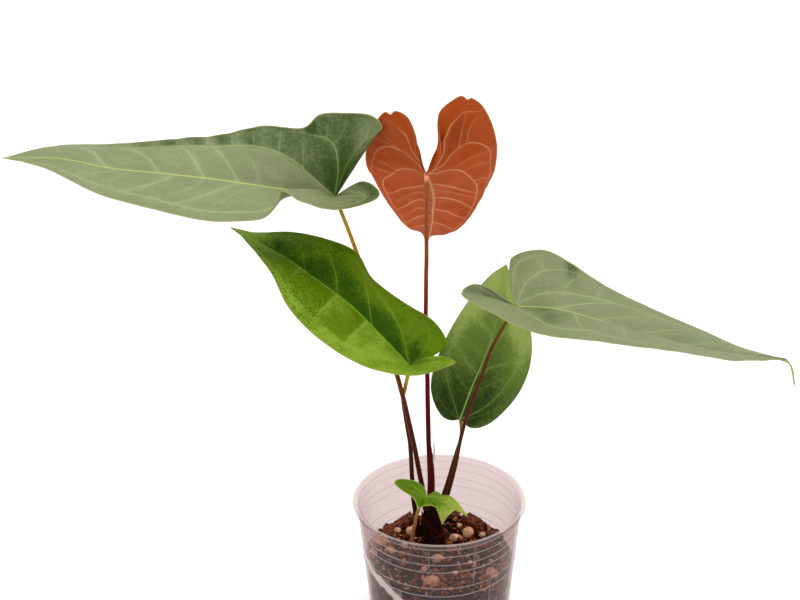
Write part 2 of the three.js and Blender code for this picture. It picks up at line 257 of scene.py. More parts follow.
leaves = {
    "leaf_left_large": {
        "slot": "leaf_green", "camber": 0.05, "ribWidth": (1.3, 0.5), "quilt": 0.5, "wave": 0.9, "seed": 3,
        "midrib": [(-59, 45, 274), (-91, 37, 282), (-122, 30, 290), (-152, 25, 296), (-183, 22, 301),
                   (-212, 20, 308), (-243, 20, 309)],
        "left": {
            "fan": 7,
            "margin": [(-217, 9, 306), (-190, -1, 295), (-161, -7, 288), (-128, -8, 280), (-101, -4, 278),
                       (-91, 2, 282), (-87, 12, 289), (-77, 10, 284), (-59, 6, 280), (-36.2, 7, 284.1),
                       (-32.5, 12, 288.8), (-42.6, 27, 289.5)],
            "veins": [[(0.28, 0), (0.25, 0.3), (0.22, 0.55), (0.2, 0.74)],
                      [(0.39, 0), (0.35, 0.25), (0.31, 0.5), (0.27, 0.76)],
                      [(0.46, 0.85), (0.4, 0.83), (0.35, 0.81), (0.3, 0.8), (0.26, 0.76), (0.2, 0.74),
                       (0.12, 0.74),
                       (0.05, 0.72)],
                      [(0.96, 0.03), (0.88, 0.45), (0.81, 0.65), (0.78, 0.8), (0.73, 0.86), (0.68, 0.8)]],
            "faint": [[(0.19, 0), (0.15, 0.4), (0.12, 0.72)], [(0.22, 0), (0.19, 0.3), (0.17, 0.6)],
                      [(0.33, 0), (0.3, 0.3), (0.26, 0.6)], [(0.43, 0), (0.38, 0.3), (0.34, 0.55)],
                      [(0.9, 0.02), (0.7, 0.3), (0.64, 0.6), (0.61, 0.9)]],
        },
        "right": {
            "fan": 6,
            "margin": [(-217, 34, 311), (-189, 47, 308), (-159, 57, 307), (-130, 63, 307),
                       (-101.6, 64, 312.2),
                       (-77.8, 60, 311.8), (-67.1, 62, 319.2), (-53, 62, 319.9), (-37, 50, 321.6),
                       (-30.4, 40, 316.7), (-42.5, 43, 305.8)],
            "veins": [[(0.16, 0), (0.15, 0.2), (0.14, 0.58), (0.12, 0.82)],
                      [(0.235, 0), (0.225, 0.33), (0.2, 0.72), (0.19, 0.78)],
                      [(0.305, 0), (0.29, 0.48), (0.275, 0.74)],
                      [(0.356, 0), (0.348, 0.3), (0.335, 0.6), (0.325, 0.7)],
                      [(0.5, 0.01), (0.48, 0.22), (0.46, 0.43), (0.435, 0.56), (0.395, 0.66), (0.36, 0.71),
                       (0.32, 0.72), (0.27, 0.75), (0.2, 0.78), (0.13, 0.82), (0.06, 0.8)],
                      [(0.67, 0.03), (0.693, 0.2), (0.677, 0.39), (0.645, 0.56), (0.603, 0.68),
                       (0.547, 0.79),
                       (0.495, 0.94)]],
            "faint": [[(0.39, 0), (0.388, 0.3), (0.38, 0.6)], [(0.36, 0.73), (0.362, 0.97)],
                      [(0.395, 0.66), (0.4, 0.97)], [(0.435, 0.58), (0.45, 0.95)],
                      [(0.468, 0.4), (0.49, 0.85)],
                      [(0.32, 0.72), (0.322, 0.96)], [(0.27, 0.75), (0.272, 0.97)],
                      [(0.642, 0.61), (0.675, 0.78), (0.685, 0.9)], [(0.595, 0.68), (0.608, 0.85)],
                      [(0.748, 0.08), (0.748, 0.29), (0.772, 0.59), (0.782, 0.78), (0.763, 0.88),
                       (0.725, 0.93)]],
        },
    },
    "leaf_red_new": {
        "slot": "leaf_red", "camber": 0.04, "ribWidth": (1.3, 0.6), "quilt": 0.9, "wave": 0.7, "seed": 5,
        "midrib": [(-6, 25, 294), (-3, 39, 283), (-1, 53, 270), (-1, 68, 257), (-1, 82, 245), (-2, 96, 232),
                   (-5, 108, 216)],
        "left": {
            "fan": 7, "bay": 0.14,
            "margin": [(-7.5, 105, 226.8), (-16.8, 100, 233.3), (-28.5, 88, 253.4), (-38.6, 72, 279.2),
                       (-41.2, 65, 291.5), (-38.9, 56, 308.5), (-34, 47, 319.3), (-29.2, 34, 327.8),
                       (-26.2, 29, 327.8), (-22.8, 24, 331.2), (-17.1, 16, 330), (-13.4, 15, 322.4),
                       (-12.9, 19, 309.6), (-9.8, 22.5, 299.6)],
            "veins": [[(0.36, 0), (0.345, 0.15), (0.278, 0.41), (0.242, 0.66), (0.23, 0.88)],
                      [(0.27, 0), (0.263, 0.16), (0.228, 0.4), (0.203, 0.62), (0.188, 0.86)],
                      [(0.19, 0), (0.18, 0.24), (0.165, 0.51), (0.152, 0.81)],
                      [(0.132, 0), (0.13, 0.36), (0.128, 0.79)],
                      [(0.46, 0.01), (0.425, 0.08), (0.4, 0.23), (0.372, 0.4), (0.345, 0.54), (0.295, 0.68),
                       (0.253, 0.84), (0.228, 0.86), (0.205, 0.88), (0.185, 0.86), (0.15, 0.86)],
                      [(0.5, 0.03), (0.475, 0.16), (0.455, 0.29), (0.445, 0.44), (0.427, 0.56), (0.41, 0.68),
                       (0.388, 0.79), (0.365, 0.86), (0.338, 0.89), (0.283, 0.94)],
                      [(0.6, 0.05), (0.55, 0.2), (0.53, 0.39), (0.623, 0.58), (0.6, 0.75), (0.535, 0.84),
                       (0.503, 0.94)]],
            "faint": [[(0.315, 0), (0.307, 0.16), (0.265, 0.34), (0.238, 0.5), (0.215, 0.76)],
                      [(0.225, 0), (0.215, 0.25), (0.19, 0.5), (0.17, 0.82)],
                      [(0.445, 0.44), (0.42, 0.7), (0.41, 0.88)],
                      [(0.435, 0.52), (0.438, 0.75), (0.448, 0.85)],
                      [(0.34, 0.54), (0.348, 0.7), (0.345, 0.86)],
                      [(0.32, 0.62), (0.318, 0.76), (0.31, 0.9)]],
        },
        "right": {
            "fan": 7, "bay": 0.17,
            "margin": [(-1.4, 105, 224.3), (8.2, 101, 227.3), (19.1, 94, 236.9), (29.2, 84, 256.7),
                       (32.8, 75, 270.6), (35.9, 66, 282.8), (36.2, 53, 301.7), (31.6, 37, 320.4),
                       (25.3, 25, 333.4), (19.6, 18, 339.3), (16.8, 16, 339.2), (12.8, 13, 342.2),
                       (5.4, 12, 337.9),
                       (0.9, 14, 331), (1.8, 17, 318.7), (2.8, 20, 307.9), (-0.1, 23, 298.7)],
            "veins": [[(0.33, 0), (0.292, 0.3), (0.265, 0.58), (0.247, 0.81)],
                      [(0.265, 0), (0.235, 0.36), (0.212, 0.7), (0.203, 0.91)],
                      [(0.2, 0), (0.19, 0.35), (0.182, 0.65), (0.182, 0.89)],
                      [(0.125, 0), (0.132, 0.3), (0.138, 0.54), (0.14, 0.86)],
                      [(0.39, 0.01), (0.37, 0.16), (0.36, 0.35), (0.345, 0.5), (0.312, 0.65), (0.275, 0.79),
                       (0.233, 0.85), (0.2, 0.89), (0.18, 0.88), (0.14, 0.89)],
                      [(0.39, 0.04), (0.39, 0.14), (0.395, 0.24), (0.427, 0.39), (0.432, 0.58),
                       (0.417, 0.73),
                       (0.4, 0.83), (0.383, 0.89), (0.355, 0.9), (0.32, 0.93), (0.27, 0.94)],
                      [(0.42, 0.1), (0.45, 0.22), (0.49, 0.34), (0.57, 0.45), (0.633, 0.61), (0.588, 0.76),
                       (0.535, 0.84), (0.495, 0.93)]],
            "faint": [[(0.3, 0), (0.265, 0.33), (0.24, 0.65), (0.228, 0.88)],
                      [(0.365, 0.43), (0.38, 0.64), (0.383, 0.86)],
                      [(0.348, 0.58), (0.357, 0.73), (0.355, 0.9)],
                      [(0.438, 0.64), (0.465, 0.7), (0.48, 0.81), (0.482, 0.9)],
                      [(0.432, 0.5), (0.475, 0.6), (0.53, 0.8)], [(0.3, 0.7), (0.31, 0.82), (0.305, 0.93)]],
        },
    },
    "leaf_centre_left": {
        "slot": "leaf_green", "camber": 0.06, "ribWidth": (1.1, 0.4), "quilt": 0.7, "wave": 0.8, "seed": 8,
        "midrib": [(-17, -6, 188), (-34, -1, 206), (-51, 6, 222), (-70, 15, 234), (-89, 26, 244),
                   (-106, 37, 250), (-122, 48, 255)],
        "left": {
            "fan": 6,
            "margin": [(-108, 24, 252), (-95, 3, 243), (-84, -14, 229), (-68, -25, 216), (-49, -33, 205),
                       (-30, -38, 200), (-13, -40, 199), (8, -34, 203), (1, -24, 203), (-8, -14, 194)],
            "veins": [[(0.225, 0), (0.224, 0.4), (0.217, 0.78)],
                      [(0.325, 0), (0.328, 0.34), (0.323, 0.58), (0.312, 0.76)],
                      [(0.415, 0), (0.415, 0.38), (0.41, 0.56), (0.4, 0.76)],
                      [(0.54, 0.02), (0.52, 0.4), (0.48, 0.66), (0.44, 0.76), (0.4, 0.76), (0.36, 0.79),
                       (0.312, 0.76), (0.27, 0.84), (0.217, 0.78), (0.15, 0.8), (0.08, 0.78)]],
            "faint": [[(0.135, 0), (0.13, 0.4), (0.125, 0.8)], [(0.47, 0), (0.465, 0.35), (0.45, 0.7)],
                      [(0.7, 0.03), (0.66, 0.4), (0.6, 0.7), (0.56, 0.86)]],
        },
        "right": {
            "fan": 6,
            "margin": [(-107, 48, 251), (-87, 44, 253), (-67, 38, 251), (-48, 31, 245), (-38, 26, 230),
                       (-20, 20, 217), (-3, 15, 207), (5, 10, 195), (-1, 5, 191), (-11, -2, 190)],
            "veins": [[(0.545, 0.02), (0.537, 0.15), (0.53, 0.38), (0.508, 0.58), (0.48, 0.7), (0.44, 0.78),
                       (0.398, 0.78), (0.33, 0.8), (0.24, 0.82), (0.15, 0.8)],
                      [(0.43, 0), (0.422, 0.24), (0.408, 0.58), (0.395, 0.76)],
                      [(0.33, 0), (0.32, 0.3), (0.3, 0.6), (0.28, 0.8)]],
            "faint": [[(0.53, 0.38), (0.56, 0.62), (0.578, 0.83)],
                      [(0.542, 0.33), (0.58, 0.5), (0.608, 0.68)],
                      [(0.24, 0), (0.23, 0.35), (0.21, 0.75)], [(0.15, 0), (0.14, 0.4), (0.13, 0.75)],
                      [(0.7, 0.05), (0.68, 0.4), (0.655, 0.7), (0.62, 0.86)], [(0.48, 0.7), (0.5, 0.88)],
                      [(0.505, 0.6), (0.535, 0.82)]],
        },
    },
    "leaf_right_large": {
        "slot": "leaf_green", "camber": 0.05, "ribWidth": (1.1, 0.4), "quilt": 0.4, "wave": 0.8, "seed": 12,
        "midrib": [(43, -16, 229), (65, -28, 232), (89, -39, 229), (115, -49, 224), (141, -57, 220),
                   (163, -64, 220), (180.5, -71, 219.6), (184, -76, 208.5)],
        "left": {
            "fan": 7,
            "margin": [(181.2, -70.5, 219.6), (175.5, -67, 220.6), (160, -50, 219), (138, -36, 224),
                       (114, -22, 231),
                       (94, -8, 237), (75, 6, 246), (60, 16, 250), (43, 18, 245), (42, 8, 237),
                       (42, -5, 231)],
            "veins": [[(0.6, 0.04), (0.575, 0.18), (0.562, 0.31), (0.535, 0.4), (0.508, 0.48), (0.48, 0.56),
                       (0.44, 0.66), (0.38, 0.74), (0.3, 0.8), (0.2, 0.82)],
                      [(0.505, 0), (0.49, 0.21), (0.468, 0.44), (0.44, 0.68)],
                      [(0.68, 0.05), (0.672, 0.3), (0.645, 0.49), (0.618, 0.65), (0.583, 0.8), (0.55, 0.9)],
                      [(0.8, 0.05), (0.75, 0.5), (0.735, 0.73), (0.7, 0.84), (0.66, 0.9)]],
            "faint": [[(0.43, 0), (0.41, 0.3), (0.38, 0.7)], [(0.36, 0), (0.34, 0.35), (0.32, 0.75)],
                      [(0.29, 0), (0.275, 0.35), (0.26, 0.75)], [(0.535, 0.4), (0.545, 0.7), (0.545, 0.9)],
                      [(0.62, 0.62), (0.65, 0.85)], [(0.48, 0.56), (0.5, 0.9)]],
        },
        "right": {
            "fan": 7,
            "margin": [(180.7, -71.6, 219.3), (173.5, -71, 221), (145, -84, 228), (118, -87, 234),
                       (90, -85, 238),
                       (65, -79, 239), (43, -69, 239), (24, -56, 245), (11, -42, 248), (17, -34, 251),
                       (28, -28, 245)],
            "veins": [[(0.62, 0.03), (0.58, 0.4), (0.545, 0.7), (0.517, 0.8), (0.475, 0.76), (0.42, 0.8),
                       (0.34, 0.8), (0.24, 0.82)],
                      [(0.47, 0), (0.475, 0.28), (0.478, 0.54), (0.473, 0.75)],
                      [(0.398, 0), (0.4, 0.4), (0.405, 0.78)]],
            "faint": [[(0.31, 0), (0.31, 0.4), (0.3, 0.78)], [(0.23, 0), (0.22, 0.4), (0.21, 0.78)],
                      [(0.8, 0.05), (0.74, 0.5), (0.7, 0.8), (0.64, 0.88)]],
        },
    },
    "leaf_upright_small": {
        "slot": "leaf_green", "camber": 0.05, "ribWidth": (1.0, 0.4), "quilt": 0.8, "wave": 0.8, "seed": 15,
        "midrib": [(13, 8, 145), (20, 12, 164), (26, 16, 177), (32, 20, 192), (37, 25, 210), (41, 32, 235)],
        "left": {
            "fan": 5,
            "margin": [(31, 31, 228), (20, 29, 215), (10, 26, 200), (2, 23, 184), (-4, 20, 166),
                       (-3, 17, 154),
                       (2, 13, 145), (8, 10, 143)],
            "veins": [[(0.38, 0), (0.385, 0.36), (0.375, 0.64), (0.36, 0.8)],
                      [(0.22, 0), (0.215, 0.14), (0.233, 0.48), (0.238, 0.78)],
                      [(0.56, 0.03), (0.53, 0.31), (0.5, 0.58), (0.47, 0.72), (0.42, 0.8), (0.36, 0.8),
                       (0.3, 0.78), (0.238, 0.78), (0.15, 0.8)]],
            "faint": [[(0.3, 0), (0.31, 0.3), (0.31, 0.6)], [(0.46, 0), (0.46, 0.3), (0.45, 0.6)],
                      [(0.7, 0.05), (0.66, 0.4), (0.6, 0.7), (0.55, 0.85)]],
        },
        "right": {
            "fan": 5,
            "margin": [(46, 29, 223), (52, 26, 208), (56, 22, 191), (55, 18, 174), (48, 14, 158),
                       (37, 11, 145),
                       (27, 9, 139), (19, 8, 139)],
            "veins": [[(0.37, 0), (0.375, 0.14), (0.378, 0.34), (0.395, 0.68), (0.39, 0.8)],
                      [(0.56, 0.03), (0.55, 0.36), (0.52, 0.55), (0.458, 0.7), (0.4, 0.78), (0.32, 0.8),
                       (0.2, 0.8)],
                      [(0.24, 0), (0.24, 0.3), (0.25, 0.7)]],
            "faint": [[(0.46, 0), (0.46, 0.3), (0.45, 0.62)], [(0.68, 0.05), (0.64, 0.4), (0.58, 0.75)]],
        },
    },
    "leaf_basal_new": {
        "slot": "leaf_young_green", "camber": 0.03, "ribWidth": (0.6, 0.3), "quilt": 0.3, "wave": 0.2,
                       "seed": 18,
        "midrib": [(-9, -17, 106), (-3, -25, 105), (1, -28, 94)],
        "left": {
            "fan": 2,
            "margin": [(4, -26.5, 98.5), (9, -23, 101), (12, -22, 99), (16, -19, 94), (11, -14, 100),
                       (6, -11, 103),
                       (2, -10, 103), (-2, -9, 105), (-6, -12, 105)],
            "veins": [[(0.3, 0.05), (0.32, 0.5), (0.33, 0.9)], [(0.6, 0.05), (0.55, 0.5), (0.45, 0.85)]],
            "faint": [[(0.8, 0.05), (0.72, 0.5), (0.6, 0.85)]],
        },
        "right": {
            "fan": 2,
            "margin": [(1, -27.5, 100), (-3, -26, 105), (-9, -26, 106), (-13, -26, 104), (-16, -24, 110),
                       (-23, -21, 114), (-27, -15, 115), (-24, -9, 114), (-15, -8, 112), (-10, -9, 109),
                       (-8, -13, 107)],
            "veins": [[(0.5, 0.05), (0.52, 0.5), (0.55, 0.85)], [(0.75, 0.05), (0.7, 0.5), (0.62, 0.85)]],
            "faint": [[(0.86, 0.05), (0.82, 0.5), (0.74, 0.85)]],
        },
    },
}


def halfBlade(leaf, sideName, along, reach):
    # points of one half at (along, reach), with the spoke's length in mm
    half = leaf[sideName]
    rib = leaf["midrib"]
    margin = [rib[-1], *half["margin"], rib[0]]
    fanStart = half["fan"] / (len(half["margin"]) + 1)
    root = curveThrough(rib, np.maximum(0, 1 - along / fanStart))
    edge = curveThrough(margin, along)
    before = curveThrough(margin, along - 0.05) - root
    after = curveThrough(margin, along + 0.05) - root
    turn = 1 if sideName == "left" else -1
    up = unit(np.cross(before, after) * turn)
    spoke = edge - root
    length = np.linalg.norm(spoke, axis=-1)
    points = root + spoke * reach[..., None]
    if "bay" in half:
        # towards the notch the spokes bend away from it, which leaves the notch wide and round
        first, second = curveThrough(margin,
                                     fanStart + np.array([0.2, 0.5]) * (1 - fanStart)) - np.array(rib[0],
                                                                                                  float)
        plane = unit(np.cross(first, second))
        turned = (along - fanStart) / (1 - fanStart)
        lobe = smoothStep(0.15, 0.5, turned)[..., None]
        up = unit(up * (1 - lobe) + plane * turn * lobe)
        strongest, spread = 0.64, 0.17  # where in the lobe the bend is strongest, and how far it spreads
        fade = np.exp(-((turned - strongest) / spread) ** 2)
        alongSpoke = 5.4 * reach * (1 - reach) ** 1.5  # 5.4 makes its peak 1
        bend = half["bay"] * fade * alongSpoke * length
        points = points + unit(np.cross(spoke, plane)) * bend[..., None]
    bow = leaf["camber"] * 4 * reach * (1 - reach) * length
    return points + up * bow[..., None], length, up


def alongSteps(leaf, sideName):
    half = leaf[sideName]
    fanStart = half["fan"] / (len(half["margin"]) + 1)
    rib = np.linspace(0, fanStart, leafBuild["ribSteps"] + 1)
    return np.concatenate([rib, np.linspace(fanStart, 1, leafBuild["fanSteps"] + 1)[1:]])


def veinDistances(leaf, sideName, points, ups):
    # signed and plain distance in mm from each point to the nearest vein, and that vein's strength
    samples, tangents, power = [], [], []
    for kind, strength in (("veins", 1.0), ("faint", 0.45)):
        for places in leaf[sideName][kind]:
            t = np.linspace(0, 1, 220)
            place = curveThrough([(a, r, 0) for a, r in places], t)
            line, _, _ = halfBlade(leaf, sideName, place[:, 0], np.clip(place[:, 1], 0, 1))
            samples.append(line)
            tangents.append(unit(np.gradient(line, axis=0)))
            fade = 1 - 0.55 * smoothStep(0.5, 1, t)
            power.append(strength * fade)
    samples, tangents, power = np.vstack(samples), np.vstack(tangents), np.concatenate(power)
    tree = KDTree(len(samples))
    for i, p in enumerate(samples):
        tree.insert(p, i)
    tree.balance()
    found = [tree.find(p) for p in points]
    index = np.array([f[1] for f in found])
    away = points - samples[index]
    along = tangents[index]
    side = np.sign(np.einsum("ij,ij->i", np.cross(along, away), ups))
    distance = np.linalg.norm(away, axis=1)
    return side * distance, distance, power[index]


def makeLeaf(name, material, tone=None):
    leaf = leaves[name]
    nRib, nFan, nReach = leafBuild["ribSteps"], leafBuild["fanSteps"], leafBuild["reachSteps"]
    reachLine = np.linspace(0, 1, nReach + 1)
    parts = {}
    for sideName in ("left", "right"):
        along, reach = np.meshgrid(alongSteps(leaf, sideName), reachLine, indexing="ij")
        points, length, up = halfBlade(leaf, sideName, along, reach)
        signed, near, power = veinDistances(leaf, sideName, points.reshape(-1, 3), up.reshape(-1, 3))
        signed, near, power = (v.reshape(along.shape) for v in (signed, near, power))
        ribDistance = reach * length
        # puffed between the veins, rippled at the margin
        puff = leaf["quilt"] * (smoothStep(0, 6, np.minimum(near, ribDistance))
                                - 0.5) * smoothStep(0, 5, ribDistance)
        flat = points.reshape(-1, 3)
        wave = (noiseAt(flat, 38, leaf["seed"]) * leaf["wave"] + 0.25 * noiseAt(flat, 9, leaf["seed"] + 1))
        wave = wave.reshape(along.shape) * smoothStep(0, 12, ribDistance)
        points = points + up * (puff + wave)[..., None]
        # normals from the grid, kept on the upper side
        dA, dR = np.gradient(points, axis=0), np.gradient(points, axis=1)
        normal = np.cross(dA, dR)
        normal *= np.sign(np.einsum("ijk,ijk->ij", normal, up))[..., None]
        small = np.linalg.norm(normal, axis=-1) < 1e-7
        normal = np.where(small[..., None], up, unit(normal))
        normal[nRib:, 0] = normal[nRib:, 1]
        parts[sideName] = {"points": points, "normal": normal, "along": along, "reach": reach,
                           "length": length,
                           "signed": signed, "near": near, "power": power, "rib": ribDistance}
    # the rib and the base are shared by both halves
    both = unit(parts["left"]["normal"][:nRib + 1, 1] + parts["right"]["normal"][:nRib + 1, 1])
    ribPoints = parts["left"]["points"][:nRib + 1, 0]
    base = unit(parts["left"]["normal"][nRib:, 1].sum(0) + parts["right"]["normal"][nRib:, 1].sum(0))
    both[nRib] = base
    ribHalf = leaf["ribWidth"][0] + (leaf["ribWidth"][1]
                                     - leaf["ribWidth"][0]) * (1 - np.arange(nRib + 1) / nRib)
    sheet, normals, data = [], [], {k: [] for k in ("vein", "veinNear", "power", "rib", "edge", "along",
                                                    "reach", "side")}

    def store(points, normal, **values):
        start = sum(len(s) for s in sheet)
        sheet.append(points)
        normals.append(normal)
        for key in data:
            data[key].append(np.broadcast_to(values[key], (len(points),)))
        return np.arange(start, start + len(points))

    # the tip is vertex 0 of the rib line, the base its last
    ribIndex = store(ribPoints, both, vein=9.0, veinNear=9.0, power=0.0, rib=0.0, edge=20.0,
                     along=parts["left"]["along"][:nRib + 1, 0], reach=0.0, side=0.0)
    indexOf = {}
    for sideName in ("left", "right"):
        p = parts[sideName]
        shape = p["along"][1:, 1:].shape
        ribWide = np.concatenate([ribHalf[1:], np.full(nFan, ribHalf[-1])])[:, None]
        values = store(
            p["points"][1:, 1:].reshape(-1, 3), p["normal"][1:, 1:].reshape(-1, 3),
            vein=p["signed"][1:, 1:].ravel(), veinNear=p["near"][1:, 1:].ravel(),
                       power=p["power"][1:, 1:].ravel(),
            rib=(p["rib"][1:, 1:] / ribWide).ravel(),
            edge=((1 - p["reach"][1:, 1:]) * p["length"][1:, 1:]).ravel(), along=p["along"][1:, 1:].ravel(),
            reach=p["reach"][1:, 1:].ravel(), side=(1.0 if sideName == "left" else -1.0))
        grid = np.zeros(p["along"].shape, int)
        grid[1:, 1:] = values.reshape(shape)
        grid[0, :] = ribIndex[0]
        grid[1:nRib + 1, 0] = ribIndex[1:]
        grid[nRib:, 0] = ribIndex[-1]
        indexOf[sideName] = grid
    sheet, normals = np.vstack(sheet), unit(np.vstack(normals))
    data = {k: np.concatenate(v).astype(float) for k, v in data.items()}
    # the blade's two faces
    count = len(sheet)
    thick = leafBuild["edge"] + (leafBuild["thickness"] - leafBuild["edge"]) * smoothStep(0, 5, data["edge"])
    ridge = np.exp(-data["rib"] ** 2)
    ribFade = 0.35 + 0.65 * np.clip(data["along"] / 0.5, 0, 1)
    veinRidge = np.exp(-(data["veinNear"] / 0.9) ** 2) * data["power"]
    upper = sheet + normals * (thick / 2 + 0.25 * ridge * ribFade + 0.1 * veinRidge)[:, None]
    lower = sheet - normals * (thick / 2 + 0.9 * ridge * ribFade + 0.35 * veinRidge)[:, None]
    faces = []
    for sideName in ("left", "right"):
        grid = indexOf[sideName]
        a, b, c, d = grid[:-1, :-1], grid[1:, :-1], grid[1:, 1:], grid[:-1, 1:]
        quads = np.stack([a, b, c, d], -1).reshape(-1, 4)
        if sideName == "right":
            quads = quads[:, ::-1]
        faces.append(quads)
    quads = np.vstack(faces)
    # the outline runs round both margins: tip, left margin, left sinus edge, base, right sinus edge, right
    # margin
    left, right = indexOf["left"], indexOf["right"]
    outline = np.concatenate([left[:, -1], left[-1, -2::-1], right[-1, 1:], right[-2:0:-1, -1]])
    outward = unit(np.roll(sheet[outline], -1, 0) - np.roll(sheet[outline], 1, 0))
    outward = np.cross(outward, normals[outline])
    middle = sheet[outline] + outward * leafBuild["edge"] * 0.4
    rim = np.arange(len(outline)) + 2 * count
    points = np.vstack([upper, lower, middle])
    nextRim = np.roll(rim, -1)
    nextOut = np.roll(outline, -1)
    rimFaces = np.vstack([np.stack([outline, rim, nextRim, nextOut], -1),
                          np.stack([rim, outline + count, nextOut + count, nextRim], -1)])
    allFaces = [list(dict.fromkeys(f)) for f in np.vstack([quads, quads[:, ::-1] + count,
                                                           rimFaces]).tolist()]
    allFaces = [f for f in allFaces if len(f) > 2]
    mesh = newMesh(name, points * mm, allFaces, material)
    fix = bmesh.new()
    fix.from_mesh(mesh)
    bmesh.ops.recalc_face_normals(fix, faces=fix.faces)
    fix.to_mesh(mesh)
    fix.free()
    for key, values in data.items():
        setAttribute(mesh, key, np.concatenate([values, values, values[outline]]))
    setAttribute(mesh, "upper",
                 np.concatenate([np.ones(count), np.zeros(count), np.full(len(outline), 0.5)]))
    # each blade's tone attribute carries the shade and light painted onto it
    tones = np.zeros(count) if tone is None else tone(data, sheet)
    setAttribute(mesh, "tone", np.concatenate([tones, tones, tones[outline]]))
    piece = newObject("visual_" + name, mesh)
    finishPiece(piece, leaf["slot"], name)
    print(name, len(mesh.polygons), "faces")
    return piece


# what a user would change in each blade's finish: colours, gloss, vein strength
leafFinish = {
    # the green blade and light colours are greyed by a painted sheen, the white room's reflection on blades
    # seen at a slant
    "green": {"name": "anthurium blade, leathery with a dull bloom", "blade": "#7a8459", "dark": "#34500a",
              "light": "#96a078", "vein": "#9aad66", "rib": "#adc258", "under": "#6f7c34",
              "underLight": "#8a8e50",
              "underVein": "#a9b872", "rim": "#b0a268", "roughness": 0.42, "specular": 0.3, "veinMix": 0.6,
              "veinWidth": 0.5, "translucent": 0.1, "quiet": 0.2, "blotch": 0.13},
    "mid": {"name": "anthurium blade, younger and smooth", "blade": "#628008", "dark": "#305400",
            "light": "#88a832", "vein": "#8dab44", "rib": "#87aa34", "under": "#7f9a48",
            "underLight": "#94aa58",
            "underVein": "#a4b25c", "rim": "#a09a54", "roughness": 0.42, "specular": 0.06, "veinMix": 0.4,
            "veinWidth": 0.4, "translucent": 0.14, "quiet": 0.2, "blotch": 0.22},
    "red": {"name": "anthurium new blade, soft and bronze-red", "blade": "#a8420c", "dark": "#963604",
            "light": "#bc5a34", "vein": "#c8835a", "rib": "#cf9068", "under": "#b34808",
            "underLight": "#c2562c",
            "underVein": "#d8966a", "rim": "#c98a58", "roughness": 0.5, "specular": 0.04, "veinMix": 0.8,
            "veinWidth": 0.45, "translucent": 0.12, "quiet": 0.15, "blotch": 0.25},
    "young": {"name": "anthurium newest blade, thin and fresh", "blade": "#6c9008", "dark": "#4a7404",
              "light": "#a9bc4a", "vein": "#a2b846", "rib": "#b8c85c", "under": "#98a624",
              "underLight": "#b4c050",
              "underVein": "#b4c050", "rim": "#c8cf74", "roughness": 0.4, "specular": 0.12, "veinMix": 0.5,
              "veinWidth": 0.35, "translucent": 0.18, "quiet": 0.15, "blotch": 0.2},
    # the shaded finish's dark colour is painted shade, laid low on the blade by its tone
    "shaded": {"name": "anthurium blade, smaller and deep green", "blade": "#61782c", "dark": "#1e3600",
               "light": "#9aae58", "vein": "#869c4c", "rib": "#93a854", "under": "#6f8a3c",
               "underLight": "#8a9c54", "underVein": "#9aad5a", "rim": "#8f8a4c", "roughness": 0.42,
               "specular": 0.12, "veinMix": 0.42, "veinWidth": 0.4, "translucent": 0.12, "quiet": 0.2,
               "blotch": 0.1},
}


